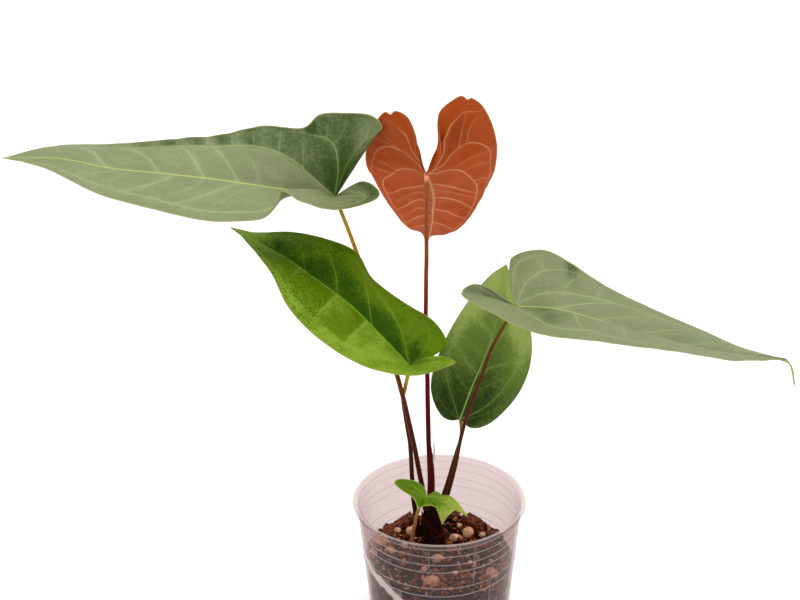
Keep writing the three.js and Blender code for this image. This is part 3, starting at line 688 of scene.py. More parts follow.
def makeLeafMaterial(finish, specks=0.0):
    # a leaf's skin: satin cuticle over green tissue, pale veins, fine grain between them, dry pale rim
    material, tree = startMaterial(finish["name"])
    place = addNode(tree, "ShaderNodeTexCoord").outputs["Object"]
    held = {name: addNode(tree, "ShaderNodeAttribute", attribute_name=name).outputs["Fac"]
            for name in ("vein", "veinNear", "power", "rib", "tone", "upper", "edge")}

    # blotches 15 mm across and mottling 2 mm across
    blotch = addNode(tree, "ShaderNodeTexNoise",
                     {"Vector": place, "Scale": 65, "Detail": 3, "Roughness": 0.55}).outputs["Fac"]
    mottle = addNode(tree, "ShaderNodeTexNoise", {"Vector": place, "Scale": 520, "Detail": 2})
    # cells 2.5 mm wide, moved so far by the mottling's squared colour that they give a grain, not a net
    moved = addNode(tree, "ShaderNodeVectorMath",
                    {0: mottle.outputs["Color"], 1: mottle.outputs["Color"], 2: place},
                    operation="MULTIPLY_ADD")
    cells = addNode(tree, "ShaderNodeTexVoronoi", {"Vector": moved.outputs[0], "Scale": 400},
                    feature="DISTANCE_TO_EDGE")

    # the distance in millimetres from the nearest vein, long or faint
    straight = addNode(tree, "ShaderNodeMath", {0: held["vein"]}, operation="ABSOLUTE")
    near = addNode(tree, "ShaderNodeMath", {0: held["veinNear"], 1: 0.6}, operation="SUBTRACT")
    distance = addNode(tree, "ShaderNodeMath", {0: straight.outputs[0], 1: near.outputs[0]},
                       operation="MAXIMUM").outputs[0]

    # soft ramps: what each one follows, from where to where, and what it gives at both ends
    wide, spread, rough = finish["veinWidth"], finish["blotch"], finish["roughness"]
    ramp = {}
    for name, value, low, high, atLow, atHigh in (
            ("line", distance, 0.3 * wide, 1.5 * wide, 1, 0),
            ("halo", distance, 0.3, 4, finish["quiet"], 0),
            ("rib", held["rib"], 0.35, 0.9, 1, 0),
            ("grain", cells.outputs["Distance"], 0.02, 0.12, 1, 0),
            ("blotch", blotch, 0.3, 0.7, -spread, spread),
            ("mottle", mottle.outputs["Fac"], 0.3, 0.7, -0.12, 0.12),
            ("upper", held["upper"], 0.3, 0.7, 0, 1),
            ("edge", held["edge"], 0.1, 0.9, 0.75, 0),
            ("gloss", blotch, 0.3, 0.7, rough - 0.05, rough + 0.07)):
        ramp[name] = addNode(tree, "ShaderNodeMapRange", {0: value, 1: low, 2: high, 3: atLow, 4: atHigh},
                             interpolation_type="SMOOTHSTEP").outputs[0]
    line, halo = [addNode(tree, "ShaderNodeMath", {0: ramp[name], 1: held["power"]},
                          operation="MULTIPLY").outputs[0] for name in ("line", "halo")]

    # how light the blade is painted, its tone attribute with the painted shade and light it carries, plus
    # blotches, mottling, vein halo and grain: below 0 towards the dark colour and above 0 towards the light
    # one
    tone = held["tone"]
    for part, share in ((ramp["blotch"], 1), (ramp["mottle"], 1), (halo, 1), (ramp["grain"], 0.18)):
        tone = addNode(tree, "ShaderNodeMath", {0: part, 1: share, 2: tone},
                       operation="MULTIPLY_ADD").outputs[0]
    for name, low, high in (("dark", -1, 0), ("light", 0, 1), ("underDark", -0.8, 0),
                            ("underLight", 0, 0.9)):
        ramp[name] = addNode(tree, "ShaderNodeMapRange", {0: tone, 1: low, 2: high},
                             interpolation_type="SMOOTHSTEP").outputs[0]
    veins, ribTop, ribUnder, grainUnder = [
        addNode(tree, "ShaderNodeMath", {0: part, 1: share}, operation="MULTIPLY").outputs[0]
        for part, share in ((line, finish["veinMix"]), (ramp["rib"], 0.85), (ramp["rib"], 0.9),
                            (ramp["grain"], 0.15))]
    pale = addNode(tree, "ShaderNodeMath", {0: veins, 1: ribUnder}, operation="MAXIMUM").outputs[0]

    # each side of the blade is painted in layers, from its dark colour up
    sides = []
    for layers in (((ramp["dark"], "blade"), (ramp["light"], "light"), (veins, "vein"), (ribTop, "rib")),
                   ((ramp["underDark"], "under"), (ramp["underLight"], "underLight"),
                    (grainUnder, "underVein"), (pale, "underVein"))):
        paint = linear(finish["dark"])
        for factor, colour in layers:
            paint = addNode(tree, "ShaderNodeMix", {0: factor, 6: paint, 7: linear(finish[colour])},
                            data_type="RGBA").outputs[2]
        sides.append(paint)
    top, below = sides

    if specks:
        # dark specks about 0.7 mm across and 1.3 mm apart, in patches, in the half nearer the tip
        along = addNode(tree, "ShaderNodeAttribute", attribute_name="along").outputs["Fac"]
        dots = addNode(tree, "ShaderNodeTexVoronoi", {"Vector": place, "Scale": 760, "Randomness": 1.0})
        patches = addNode(tree, "ShaderNodeTexNoise", {"Vector": place, "Scale": 130, "Detail": 3})
        dark = specks
        for value, low, high, atLow, atHigh in ((dots.outputs["Distance"], 0.2, 0.38, 1, 0),
                                                (patches.outputs["Fac"], 0.24, 0.44, 0, 1),
                                                (along, 0.28, 0.5, 1, 0), (along, 0.05, 0.1, 0, 1)):
            step = addNode(tree, "ShaderNodeMapRange", {0: value, 1: low, 2: high, 3: atLow, 4: atHigh},
                           interpolation_type="SMOOTHSTEP")
            dark = addNode(tree, "ShaderNodeMath", {0: step.outputs[0], 1: dark},
                           operation="MULTIPLY").outputs[0]
        top = addNode(tree, "ShaderNodeMix", {0: dark, 6: top, 7: linear("#182303")},
                      data_type="RGBA").outputs[2]

    colour = below
    for factor, paint in ((ramp["upper"], top), (ramp["edge"], linear(finish["rim"]))):
        colour = addNode(tree, "ShaderNodeMix", {0: factor, 6: colour, 7: paint},
                         data_type="RGBA").outputs[2]
    height = 0.0
    for part, share in ((ramp["grain"], -0.25), (mottle.outputs["Fac"], 0.6), (line, 0.6)):
        height = addNode(tree, "ShaderNodeMath", {0: part, 1: share, 2: height},
                         operation="MULTIPLY_ADD").outputs[0]
    bump = addNode(tree, "ShaderNodeBump", {"Height": height, "Strength": 0.5, "Distance": 0.0003})
    skin = addNode(tree, "ShaderNodeBsdfPrincipled",
                   {"Base Color": colour, "Roughness": ramp["gloss"], "IOR": 1.47,
                    "Normal": bump.outputs[0], "Specular IOR Level": finish["specular"]})
    through = addNode(tree, "ShaderNodeBsdfTranslucent", {"Color": colour, "Normal": bump.outputs[0]})
    both = addNode(tree, "ShaderNodeMixShader",
                   {0: finish["translucent"], 1: skin.outputs[0], 2: through.outputs[0]})
    addNode(tree, "ShaderNodeOutputMaterial", {"Surface": both.outputs[0]})
    return material


def paintedShadeLeftLarge(data, points):
    # painted shade: the far strip beyond the long side vein and the back lobe slope away from the light and
    # are painted a deeper green
    far = data["side"] < 0
    border = np.interp(data["along"], [0, 0.13, 0.27, 0.36, 0.435, 0.48, 0.5],
                       [0.8, 0.8, 0.74, 0.7, 0.56, 0.25, 0])
    strip = smoothStep(-0.03, 0.03, data["reach"] - border) * smoothStep(0.12, 0.25, data["along"])
    # painted shade: the panels between the side veins, darker and lighter in turn as their puckering shades
    # them
    panel = 0.22 * np.sin(data["along"] * 2 * np.pi / 0.045)
    nearBase = smoothStep(0.75, 0.1, data["reach"])
    notch = np.exp(-((data["along"] - 0.53) / 0.02) ** 2) * smoothStep(0.8, 0.97, data["reach"])
    # painted shade, deepest near the base and in the notch, with a lighter painted sheen on the outer back
    # lobe
    stripShade = -0.66 - 0.45 * nearBase * smoothStep(0.44, 0.54, data["along"]) - notch \
        + 0.35 * smoothStep(0.7, 0.78, data["along"]) * smoothStep(0.4, 0.8, data["reach"])
    stripShade = stripShade + panel * smoothStep(0.46, 0.4, data["along"])
    # the near lobe is made darker
    lobe = smoothStep(0.62, 0.8, data["along"]) * smoothStep(0.5, 0.9, data["reach"])
    return np.where(far, 0.12 + (stripShade - 0.12) * strip, 0.12 - 0.75 * lobe)


def toneRed(data, points):
    # rosier in the heart between the long veins, deeper in the middle of each lobe
    heart = smoothStep(0.46, 0.3, data["along"])
    tip = smoothStep(0.2, 0.05, data["along"])
    middle = np.exp(-((data["reach"] - 0.55) / 0.28) ** 2) * smoothStep(0.36, 0.42, data["along"])
    # painted shade: a saw-tooth darkening between the side veins in the heart, where the puckered blade
    # shades itself
    step = np.abs(((data["along"] * 15) % 1) - 0.5)
    middle = middle * np.where(data["side"] > 0, 0.3, 1)
    return 0.1 + 0.25 * heart + 0.5 * tip - 0.5 * middle - 0.5 * step * heart


def paintedShadeCentreLeft(data, points):
    # painted shade: each panel of the near half is darker towards the tip side of its vein, where its
    # puckering shades it; the near half, lit through from behind, is painted lighter
    near = data["side"] > 0
    steps = np.interp(data["along"], [0, 0.225, 0.325, 0.415, 0.54, 1], [0, 1, 2, 3, 4, 5])
    panel = steps - np.floor(steps)
    inside = smoothStep(0.82, 0.72, data["reach"]) * (data["along"] < 0.412)
    tip = smoothStep(0.17, 0.06, data["along"])
    depth = np.interp(data["along"], [0, 0.22, 0.23, 0.32, 0.33, 1], [0.3, 0.3, 0.5, 0.5, 0.85, 0.85])
    nearTone = 0.5 - depth * panel * inside - 0.2 * (data["along"] < 0.325) * inside
    # painted shade on the far half, which is turned away from the light
    dark = -0.95 + 0.65 * smoothStep(0.05, 0.75, data["reach"]) + 0.2 * smoothStep(0.6, 0.85, data["along"])
    return np.where(near, nearTone, dark) * (1 - tip) + 1.1 * tip


def toneRightLarge(data, points):
    # one deeper panel beside the midrib near the base, a paler lobe, a round darker spot on the near half
    panel = np.exp(-((data["along"] - 0.53) / 0.05) ** 2) * smoothStep(0.85, 0.6, data["reach"])
    lobe = smoothStep(0.75, 0.9, data["along"])
    darkSpot = np.exp(-((points[:, 0] - 76) ** 2 + (points[:, 2] - 244) ** 2) / 26)
    return np.where(data["side"] < 0, 0.0 - 0.55 * panel + 0.3 * lobe, 0.05 - 0.9 * darkSpot)


def paintedShadeUpright(data, points):
    # painted shade: deepest at its base and middle, where it sits deep in the plant, paler to the outer
    # margin and the tip
    rise = smoothStep(145, 225, points[:, 2])
    outer = smoothStep(0.3, 0.9, data["reach"]) * np.where(data["side"] < 0, 2.0, 0.8)
    return -0.95 + 1.25 * rise + 0.8 * outer * (0.3 + 0.7 * rise) + 0.5 * smoothStep(205, 225, points[:, 2])


def paintedLightYoung(data, points):
    # painted light: the folded flap and the drip tip are the palest, lit through from behind and from above
    return -0.3 + 1.3 * smoothStep(107, 98, points[:, 2])


greenLeaf = makeLeafMaterial(leafFinish["green"])
makeLeaf("leaf_left_large", greenLeaf, paintedShadeLeftLarge)
makeLeaf("leaf_red_new", makeLeafMaterial(leafFinish["red"]), toneRed)
makeLeaf("leaf_centre_left", makeLeafMaterial(leafFinish["mid"], specks=0.85), paintedShadeCentreLeft)
makeLeaf("leaf_right_large", greenLeaf, toneRightLarge)
makeLeaf("leaf_upright_small", makeLeafMaterial(leafFinish["shaded"]), paintedShadeUpright)
makeLeaf("leaf_basal_new", makeLeafMaterial(leafFinish["young"]), paintedLightYoung)
print("leaves ready")


# path: foot to top in mm; stops: (how far up, colour); knee: how much the joint under the blade swells
petioles = {
    "petiole_left_large": {
        "slot": "petiole_brown", "radius": 1.5, "knee": 1.15,
        "path": [(-8, -1.5, 88), (-11, -2, 108), (-15.5, -4, 137), (-20, -5, 162), (-22, -3.5, 170),
                 (-24.5, 1, 179),
                 (-34, 21, 203), (-47, 40, 240), (-56, 45, 265), (-58.9, 45, 273.4)],
        "stops": [(0, "#3a0f08"), (0.35, "#4a1c0b"), (0.6, "#9a5c20"), (0.85, "#c48a30"), (1, "#9c942c")]},
    "petiole_red_new": {
        "slot": "petiole_red", "radius": 1.5, "knee": 1.05,
        "path": [(-4.5, 4, 88), (-5, 4.5, 96), (-6, 7, 130), (-6.5, 14, 171), (-7, 20, 188), (-7, 23, 203),
                 (-6, 25, 256), (-6, 24, 288), (-6, 24.2, 293.4)],
        "stops": [(0, "#3c0204"), (0.3, "#580408"), (0.55, "#6b1410"), (0.72, "#8e3520"), (0.84, "#8a4a1e"),
                  (0.98, "#96522a"), (0.99, "#e08a6c"), (1, "#f09a80")]},
    "petiole_centre_left": {
        "slot": "petiole_brown", "radius": 1.45, "knee": 1.15,
        "path": [(-13, 2.4, 66), (-14.5, 2.6, 82), (-16, 4, 98), (-17, 5, 125), (-18.5, 5, 139),
                 (-21, 4, 160),
                 (-20, 1.5, 169), (-18, -4.5, 182), (-17.1, -5.9, 187.3)],
        "stops": [(0, "#2c0a06"), (0.35, "#3d1108"), (0.7, "#5a2810"), (0.88, "#a5702a"), (1, "#a88a2c")]},
    "petiole_right_large": {
        "slot": "petiole_brown", "radius": 1.22, "knee": 1.4,
        "path": [(1, -1.5, 88), (5, -3, 99), (9.5, -5, 120), (12.3, -8, 139), (17, -11, 161), (24, -13, 184),
                 (30, -15, 204), (37, -16, 219), (42.6, -16, 228.4)],
        "stops": [(0, "#3a1208"), (0.3, "#4a2a0e"), (0.55, "#4a1c0a"), (0.8, "#5a300c"), (0.93, "#6a480e"),
                  (0.965, "#a8621c"), (1, "#c08a34")]},
    "petiole_upright_small": {
        "slot": "petiole_brown", "radius": 1.3, "knee": 1.1,
        "path": [(1.8, 5.2, 88), (6, 6.2, 104), (11, 7, 123), (13.3, 8, 131), (13.8, 9, 138),
                 (13.2, 9, 144)],
        "stops": [(0, "#3a1208"), (0.6, "#54240c"), (1, "#8a6a20")]},
    "petiole_basal_new": {
        "slot": "petiole_pale", "radius": 1.2, "knee": 1.0,
        "path": [(-17.6, -14.2, 57), (-17, -14, 75), (-15.3, -16, 86), (-14, -17.5, 94),
                 (-10.4, -16.4, 104.6)],
        "stops": [(0, "#6a4a38"), (0.35, "#8a5a3c"), (0.7, "#a06c40"), (0.9, "#9a8a3a"), (1, "#96a83a")]},
}


def makePetioleTree():
    tree, start, end = startTree("petiole along its line",
                                 [("Sides", "Int", 20), ("Skin", "Material", None)])
    curve = addNode(tree, "GeometryNodeMeshToCurve", {0: start.outputs["Geometry"]})
    radius = addNode(tree, "GeometryNodeInputNamedAttribute", {"Name": "radius"}, data_type="FLOAT")
    sized = addNode(tree, "GeometryNodeSetCurveRadius",
                    {"Curve": curve.outputs[0], "Radius": radius.outputs[0]})
    ring = addNode(tree, "GeometryNodeCurvePrimitiveCircle",
                   {"Resolution": start.outputs["Sides"], "Radius": 1.0})
    tube = addNode(tree, "GeometryNodeCurveToMesh",
                   {"Curve": sized.outputs[0], "Profile Curve": ring.outputs[0],
                    "Fill Caps": True})
    if "Scale" in tube.inputs:
        tree.links.new(radius.outputs[0], tube.inputs["Scale"])
    smooth = addNode(tree, "GeometryNodeSetShadeSmooth", {"Geometry": tube.outputs[0]})
    real = addNode(tree, "GeometryNodeRealizeInstances", {0: smooth.outputs[0]})
    skin = addNode(tree, "GeometryNodeSetMaterial",
                   {"Geometry": real.outputs[0], "Material": start.outputs["Skin"]})
    tree.links.new(skin.outputs[0], end.inputs[0])
    return tree


def makeStemMaterial(name, stops, roughness=0.38):
    # a juicy stalk: thin waxy skin, colour that changes up its length, fine lengthwise streaks
    material, tree = startMaterial(name)
    place = addNode(tree, "ShaderNodeTexCoord").outputs["Object"]
    up = addNode(tree, "ShaderNodeAttribute", attribute_name="along").outputs["Fac"]
    stretched = addNode(tree, "ShaderNodeMapping", {"Vector": place, "Scale": (1, 1, 0.12)})
    streak = addNode(tree, "ShaderNodeTexNoise",
                     {"Vector": stretched.outputs[0], "Scale": 1400, "Detail": 2})
    blotch = addNode(tree, "ShaderNodeTexNoise", {"Vector": place, "Scale": 160, "Detail": 3})
    shift = addNode(tree, "ShaderNodeMath", {0: blotch.outputs["Fac"], 1: 0.03, 2: up},
                    operation="MULTIPLY_ADD")
    shift2 = addNode(tree, "ShaderNodeMath", {0: shift.outputs[0], 1: 0.015}, operation="SUBTRACT")
    ramp = addNode(tree, "ShaderNodeValToRGB", {"Fac": shift2.outputs[0]})
    elements = ramp.color_ramp.elements
    elements[0].position, elements[0].color = stops[0][0], linear(stops[0][1])
    elements[1].position, elements[1].color = stops[-1][0], linear(stops[-1][1])
    for position, colour in stops[1:-1]:
        elements.new(position).color = linear(colour)
    varied = addNode(tree, "ShaderNodeMapRange",
                  {"Value": streak.outputs["Fac"], "From Min": 0.3, "From Max": 0.7,
                   "To Min": 0.78, "To Max": 1.18})
    colour = addNode(tree, "ShaderNodeMix", {0: 1.0, 6: ramp.outputs[0], 7: varied.outputs[0]},
                     data_type="RGBA",
                     blend_type="MULTIPLY")
    bump = addNode(tree, "ShaderNodeBump",
                   {"Height": streak.outputs["Fac"], "Strength": 0.3, "Distance": 0.0002})
    shader = addNode(tree, "ShaderNodeBsdfPrincipled",
                     {"Base Color": colour.outputs[2], "Roughness": roughness, "IOR": 1.45,
                      "Specular IOR Level": 0.06, "Normal": bump.outputs[0]})
    addNode(tree, "ShaderNodeOutputMaterial", {"Surface": shader.outputs[0]})
    return material


def makePetioles():
    tree = makePetioleTree()
    for name, stem in petioles.items():
        t = np.linspace(0, 1, 110)
        path = curveThrough(stem["path"], t)
        path[:, :2] += 0.12 * np.stack([noiseAt(path + 50, 14, 2), noiseAt(path - 50, 14, 3)], 1)
        length = np.linalg.norm(np.diff(path, axis=0), axis=1)
        up = np.concatenate([[0], np.cumsum(length)]) / length.sum()
        total = length.sum()
        top = (1 - up) * total  # mm below the blade
        swell = 1 + (stem["knee"]
                     - 1) * np.exp(-((top - 4) / 4.5) ** 2) + 0.45 * np.exp(-(up * total / 9) ** 2)
        mesh = bpy.data.meshes.new(name)
        mesh.from_pydata((path * mm).tolist(), [(i, i + 1) for i in range(len(path) - 1)], [])
        setAttribute(mesh, "radius", stem["radius"] * mm * swell * (1.05 - 0.3 * up))
        setAttribute(mesh, "along", up)
        piece = newObject("visual_" + name, mesh)
        skin = makeStemMaterial("petiole skin, " + name.replace("petiole_", "").replace("_", " "),
                                stem["stops"])
        addNodesModifier(piece, tree, {"Sides": 20, "Skin": skin})
        applyModifiers(piece)
        finishPiece(piece, stem["slot"], name)
    print("petioles ready")


makePetioles()


sheaths = {
    "sheath_dark_red": {"foot": (-4.8, 4.3, 90), "tip": (-5.8, 6.8, 129), "radius": 2.3, "facing": -1.1,
                        "spread": 1.7, "thickness": 0.7, "slot": "sheath_red"},
    "sheath_papery": {"foot": (-5.2, 5.8, 119), "tip": (-5.6, 6.8, 133), "radius": 3.0, "facing": -0.5,
                      "spread": 0.5, "thickness": 0.3, "slot": "sheath_papery"},
}


def makeDryMaterial(name, dark, pale, rim, roughness=0.55):
    # a dry membrane: lengthwise fibres, paler and thinner at its torn rim
    material, tree = startMaterial(name)
    place = addNode(tree, "ShaderNodeTexCoord").outputs["Object"]
    stretched = addNode(tree, "ShaderNodeMapping", {"Vector": place, "Scale": (1, 1, 0.08)})
    fibre = addNode(tree, "ShaderNodeTexNoise", {"Vector": stretched.outputs[0], "Scale": 1500, "Detail": 3})
    worn = addNode(tree, "ShaderNodeAttribute", attribute_name="worn").outputs["Fac"]
    base = addNode(tree, "ShaderNodeMix", {0: fibre.outputs["Fac"], 6: linear(dark), 7: linear(pale)},
                   data_type="RGBA")
    colour = addNode(tree, "ShaderNodeMix", {0: worn, 6: base.outputs[2], 7: linear(rim)}, data_type="RGBA")
    bump = addNode(tree, "ShaderNodeBump",
                   {"Height": fibre.outputs["Fac"], "Strength": 0.5, "Distance": 0.0003})
    shader = addNode(tree, "ShaderNodeBsdfPrincipled",
                     {"Base Color": colour.outputs[2], "Roughness": roughness, "IOR": 1.45,
                      "Specular IOR Level": 0.1, "Normal": bump.outputs[0]})
    addNode(tree, "ShaderNodeOutputMaterial", {"Surface": shader.outputs[0]})
    return material


def wrappedSheet(foot, tip, radius, facing, spread, thickness, seed, taper=0.9, flare=0.0, rows=60,
                 columns=24):
    # a closed thin sheet that wraps a stalk from foot to tip, narrowing to a torn top
    foot, tip = np.array(foot, float), np.array(tip, float)
    v, u = np.meshgrid(np.linspace(0, 1, rows + 1), np.linspace(0, 1, columns + 1), indexing="ij")
    tear = 1 - 0.16 * np.abs(noiseAt(np.stack([u.ravel() * 30, v.ravel() * 0, u.ravel() * 0 + seed], 1), 4,
                                     seed)
                             ).reshape(u.shape)
    height = v * tear
    ragged = 0.10 * noiseAt(np.stack([v.ravel() * 40, u.ravel() * 2, v.ravel() * 0 + seed], 1), 5,
                            seed).reshape(u.shape)
    angle = facing + (spread + ragged) * (2 * u - 1) * (1 - taper * height ** 1.5)
    centre = foot + (tip - foot) * height[..., None]
    r = radius * (1 + flare * height) + 0.25 * noiseAt(np.stack([u.ravel() * 12, v.ravel() * 20,
                                                                 u.ravel() * 0], 1),
                                                       6, seed + 4).reshape(u.shape)
    layers = []
    for offset in (thickness / 2, -thickness / 2):
        thin = offset * (0.25 + 0.75 * smoothStep(0, 0.15, u) * smoothStep(0, 0.15,
                                                                           1 - u) * smoothStep(0, 0.12,
                                                                                               1 - v))
        around = np.stack([np.cos(angle), np.sin(angle), np.zeros_like(angle)], -1)
        layers.append(centre + around * (r + thin)[..., None])
    grid = np.arange(u.size).reshape(u.shape)
    a, b, c, d = grid[:-1, :-1], grid[:-1, 1:], grid[1:, 1:], grid[1:, :-1]
    quads = np.stack([a, b, c, d], -1).reshape(-1, 4)
    edge = np.concatenate([grid[0, :-1], grid[:-1, -1], grid[-1, :0:-1], grid[:0:-1, 0]])
    after = np.roll(edge, -1)
    sides = np.stack([edge, edge + u.size, after + u.size, after], -1)
    points = np.vstack([layers[0].reshape(-1, 3), layers[1].reshape(-1, 3)])
    faces = quads.tolist() + (quads[:, ::-1] + u.size).tolist() + sides.tolist()
    border = np.maximum(np.maximum(smoothStep(0.12, 0, u), smoothStep(0.88, 1, u)),
                        smoothStep(0.85, 1, v)).ravel()
    return points, faces, np.concatenate([border, border])


def recalcNormals(mesh):
    fix = bmesh.new()
    fix.from_mesh(mesh)
    bmesh.ops.recalc_face_normals(fix, faces=fix.faces)
    fix.to_mesh(mesh)
    fix.free()


def makeSheaths():
    finish = {"sheath_dark_red": makeDryMaterial("dried red sheath, leathery", "#300203", "#620808",
                                                 "#7a1a10", 0.4),
              "sheath_papery": makeDryMaterial("papery sheath flake, bleached", "#b8a79c", "#e4d8d0",
                                               "#d9cabf", 0.7)}
    for seed, (name, s) in enumerate(sheaths.items()):
        points, faces, border = wrappedSheet(s["foot"], s["tip"], s["radius"], s["facing"], s["spread"],
                                             s["thickness"], seed + 21)
        mesh = newMesh(name, points * mm, faces, finish[name])
        recalcNormals(mesh)
        setAttribute(mesh, "worn", border * 0.8)
        finishPiece(newObject("visual_" + name, mesh), s["slot"], name)


makeSheaths()


crown = {"at": (-4, 2), "bottom": 50, "top": 88, "baseRadius": 7.2, "topRadius": 5.4, "scales": 9}


def makeCrown():
    material, tree = startMaterial("crown bark, damp and fibrous")
    place = addNode(tree, "ShaderNodeTexCoord").outputs["Object"]
    stretched = addNode(tree, "ShaderNodeMapping", {"Vector": place, "Scale": (1, 1, 0.2)})
    fibre = addNode(tree, "ShaderNodeTexNoise", {"Vector": stretched.outputs[0], "Scale": 900, "Detail": 4})
    patch = addNode(tree, "ShaderNodeTexNoise", {"Vector": place, "Scale": 220, "Detail": 3})
    worn = addNode(tree, "ShaderNodeAttribute", attribute_name="worn").outputs["Fac"]
    # near-black bark: its own dark brown deepened by painted shade from the leaves above
    base = addNode(tree, "ShaderNodeMix",
                   {0: fibre.outputs["Fac"], 6: linear("#080101"), 7: linear("#200503")},
                   data_type="RGBA")
    varied = addNode(tree, "ShaderNodeMapRange",
                  {"Value": patch.outputs["Fac"], "From Min": 0.55, "From Max": 0.8})
    colour = addNode(tree, "ShaderNodeMix", {0: varied.outputs[0], 6: base.outputs[2], 7: linear("#4a1208")},
                     data_type="RGBA")
    rimmed = addNode(tree, "ShaderNodeMix", {0: worn, 6: colour.outputs[2], 7: linear("#541808")},
                     data_type="RGBA")
    bump = addNode(tree, "ShaderNodeBump",
                   {"Height": fibre.outputs["Fac"], "Strength": 0.8, "Distance": 0.0006})
    shader = addNode(tree, "ShaderNodeBsdfPrincipled",
                     {"Base Color": rimmed.outputs[2], "Roughness": 0.62, "IOR": 1.45,
                      "Specular IOR Level": 0.1,
                      "Normal": bump.outputs[0]})
    addNode(tree, "ShaderNodeOutputMaterial", {"Surface": shader.outputs[0]})
    rings, around = 110, 140
    v = np.linspace(0, 1, rings + 1)
    theta = np.linspace(0, 2 * np.pi, around, endpoint=False)
    V, T = np.meshgrid(v, theta, indexing="ij")
    dome = np.sqrt(np.clip(1 - np.clip((V - 0.86) / 0.14, 0, 1) ** 2, 0.0004, 1))
    radius = (crown["baseRadius"] + (crown["topRadius"] - crown["baseRadius"]) * V) * dome
    z = crown["bottom"] + (crown["top"] - crown["bottom"]) * V
    flat = np.stack([np.cos(T) * 6, np.sin(T) * 6, z], -1).reshape(-1, 3)
    radius = radius * (1 + 0.05 * noiseAt(flat * [1, 1, 0.4], 3, 31).reshape(V.shape)
                       + 0.06 * noiseAt(flat, 9, 32).reshape(V.shape) + 0.03 * np.cos(T * 2 + V * 9))
    x, y = crown["at"]
    points = np.stack([x + np.cos(T) * radius, y + np.sin(T) * radius, z], -1).reshape(-1, 3)
    grid = np.arange(V.size).reshape(V.shape)
    a, b = grid[:-1], np.roll(grid, -1, 1)[:-1]
    c, d = np.roll(grid, -1, 1)[1:], grid[1:]
    faces = np.stack([a, b, c, d], -1).reshape(-1, 4).tolist()
    faces += [grid[0, ::-1].tolist(), grid[-1].tolist()]
    allPoints, allFaces, worn = [points], faces, [np.zeros(len(points))]
    rng = np.random.default_rng(7)
    for k in range(crown["scales"]):
        # old scale leaves, overlapping round the crown
        low = crown["bottom"] + 4 + 26 * (k / crown["scales"]) * 0.8
        high = low + rng.uniform(12, 20)
        r = np.interp(low + 6, [crown["bottom"], crown["top"]],
                      [crown["baseRadius"], crown["topRadius"]]) + 0.5
        sheetPoints, sheetFaces, border = wrappedSheet((x, y, low), (x, y, min(high, crown["top"] + 2)), r,
                                                       rng.uniform(0, 2 * math.pi), rng.uniform(0.7, 1.3),
                                                       0.5, 40 + k,
                                                       taper=0.7, flare=0.05, rows=24, columns=18)
        offset = sum(len(p) for p in allPoints)
        allPoints.append(sheetPoints)
        allFaces += [[i + offset for i in f] for f in sheetFaces]
        worn.append(border * 0.7)
    mesh = newMesh("crown", np.vstack(allPoints) * mm, allFaces, material)
    recalcNormals(mesh)
    setAttribute(mesh, "worn", np.concatenate(worn))
    finishPiece(newObject("visual_crown", mesh), "crown", "crown")
    print("crown ready")


makeCrown()


pot = {
    "height": 95, "lipRadius": 52.5, "baseRadius": 42, "topRadius": 50, "wall": 1.2, "floor": 1.6,
    "rings": [56, 62, 74, 79.5, 85.5, 90.8], "ringProud": 0.3, "ringWidth": 0.5,
    "ribs": [(-99.0, 78, 90), (-67.0, 62, 90), (-52.0, 30, 66)],  # azimuth in degrees, from and to height
    "ribProud": 0.3, "ribWidth": 0.5,
    "holes": 8, "holeRadius": 1.9, "holeCircle": 30,
}


def wallRadius(z):
    return pot["baseRadius"] + (pot["topRadius"] - pot["baseRadius"]) * z / pot["height"]


def makePotMaterial():
    # thin polypropylene, moulded and lightly frosted: see-through, rose-grey in its depth, milky at a slant
    material, tree = startMaterial("frosted polypropylene, moulded")
    place = addNode(tree, "ShaderNodeTexCoord").outputs["Object"]
    cloud = addNode(tree, "ShaderNodeTexNoise", {"Vector": place, "Scale": 70, "Detail": 4})
    grain = addNode(tree, "ShaderNodeTexNoise", {"Vector": place, "Scale": 1800, "Detail": 2})
    haze = addNode(tree, "ShaderNodeAttribute", attribute_name="haze").outputs["Fac"]
    bump = addNode(tree, "ShaderNodeBump",
                   {"Height": grain.outputs["Fac"], "Strength": 0.12, "Distance": 0.0002})
    slant = addNode(tree, "ShaderNodeLayerWeight", {"Blend": 0.5}).outputs["Facing"]
    clear = addNode(tree, "ShaderNodeBsdfTransparent", {"Color": linear("#e7dddd")})
    rough = addNode(tree, "ShaderNodeMapRange",
                    {"Value": cloud.outputs["Fac"], "From Min": 0.3, "From Max": 0.7,
                     "To Min": 0.26, "To Max": 0.36})
    tint = addNode(tree, "ShaderNodeMix",
                   {0: cloud.outputs["Fac"], 6: linear("#cbbcba"), 7: linear("#d8ccca")},
                   data_type="RGBA")
    # thick carries the rings' and lip's painted highlights, together with the milkier thicker plastic of
    # rings, seams and lip
    thick = addNode(tree, "ShaderNodeAttribute", attribute_name="thick").outputs["Fac"]
    white = addNode(tree, "ShaderNodeMix", {0: thick, 6: tint.outputs[2], 7: linear("#f8eee8")},
                    data_type="RGBA")
    face = addNode(tree, "ShaderNodeBsdfPrincipled",
                   {"Base Color": white.outputs[2], "Roughness": rough.outputs[0],
                    "IOR": 1.49, "Normal": bump.outputs[0]})
    steep = addNode(tree, "ShaderNodeMath", {0: slant, 1: 3.5}, operation="POWER")
    milk = addNode(tree, "ShaderNodeMath", {0: steep.outputs[0], 1: 0.5, 2: 0.045}, operation="MULTIPLY_ADD")
    ridged = addNode(tree, "ShaderNodeMath", {0: thick, 1: 0.25, 2: milk.outputs[0]},
                     operation="MULTIPLY_ADD")
    cover = addNode(tree, "ShaderNodeMath", {0: ridged.outputs[0], 1: haze}, operation="MAXIMUM",
                    use_clamp=True)
    both = addNode(tree, "ShaderNodeMixShader",
                   {0: cover.outputs[0], 1: clear.outputs[0], 2: face.outputs[0]})
    addNode(tree, "ShaderNodeOutputMaterial", {"Surface": both.outputs[0]})
    return material


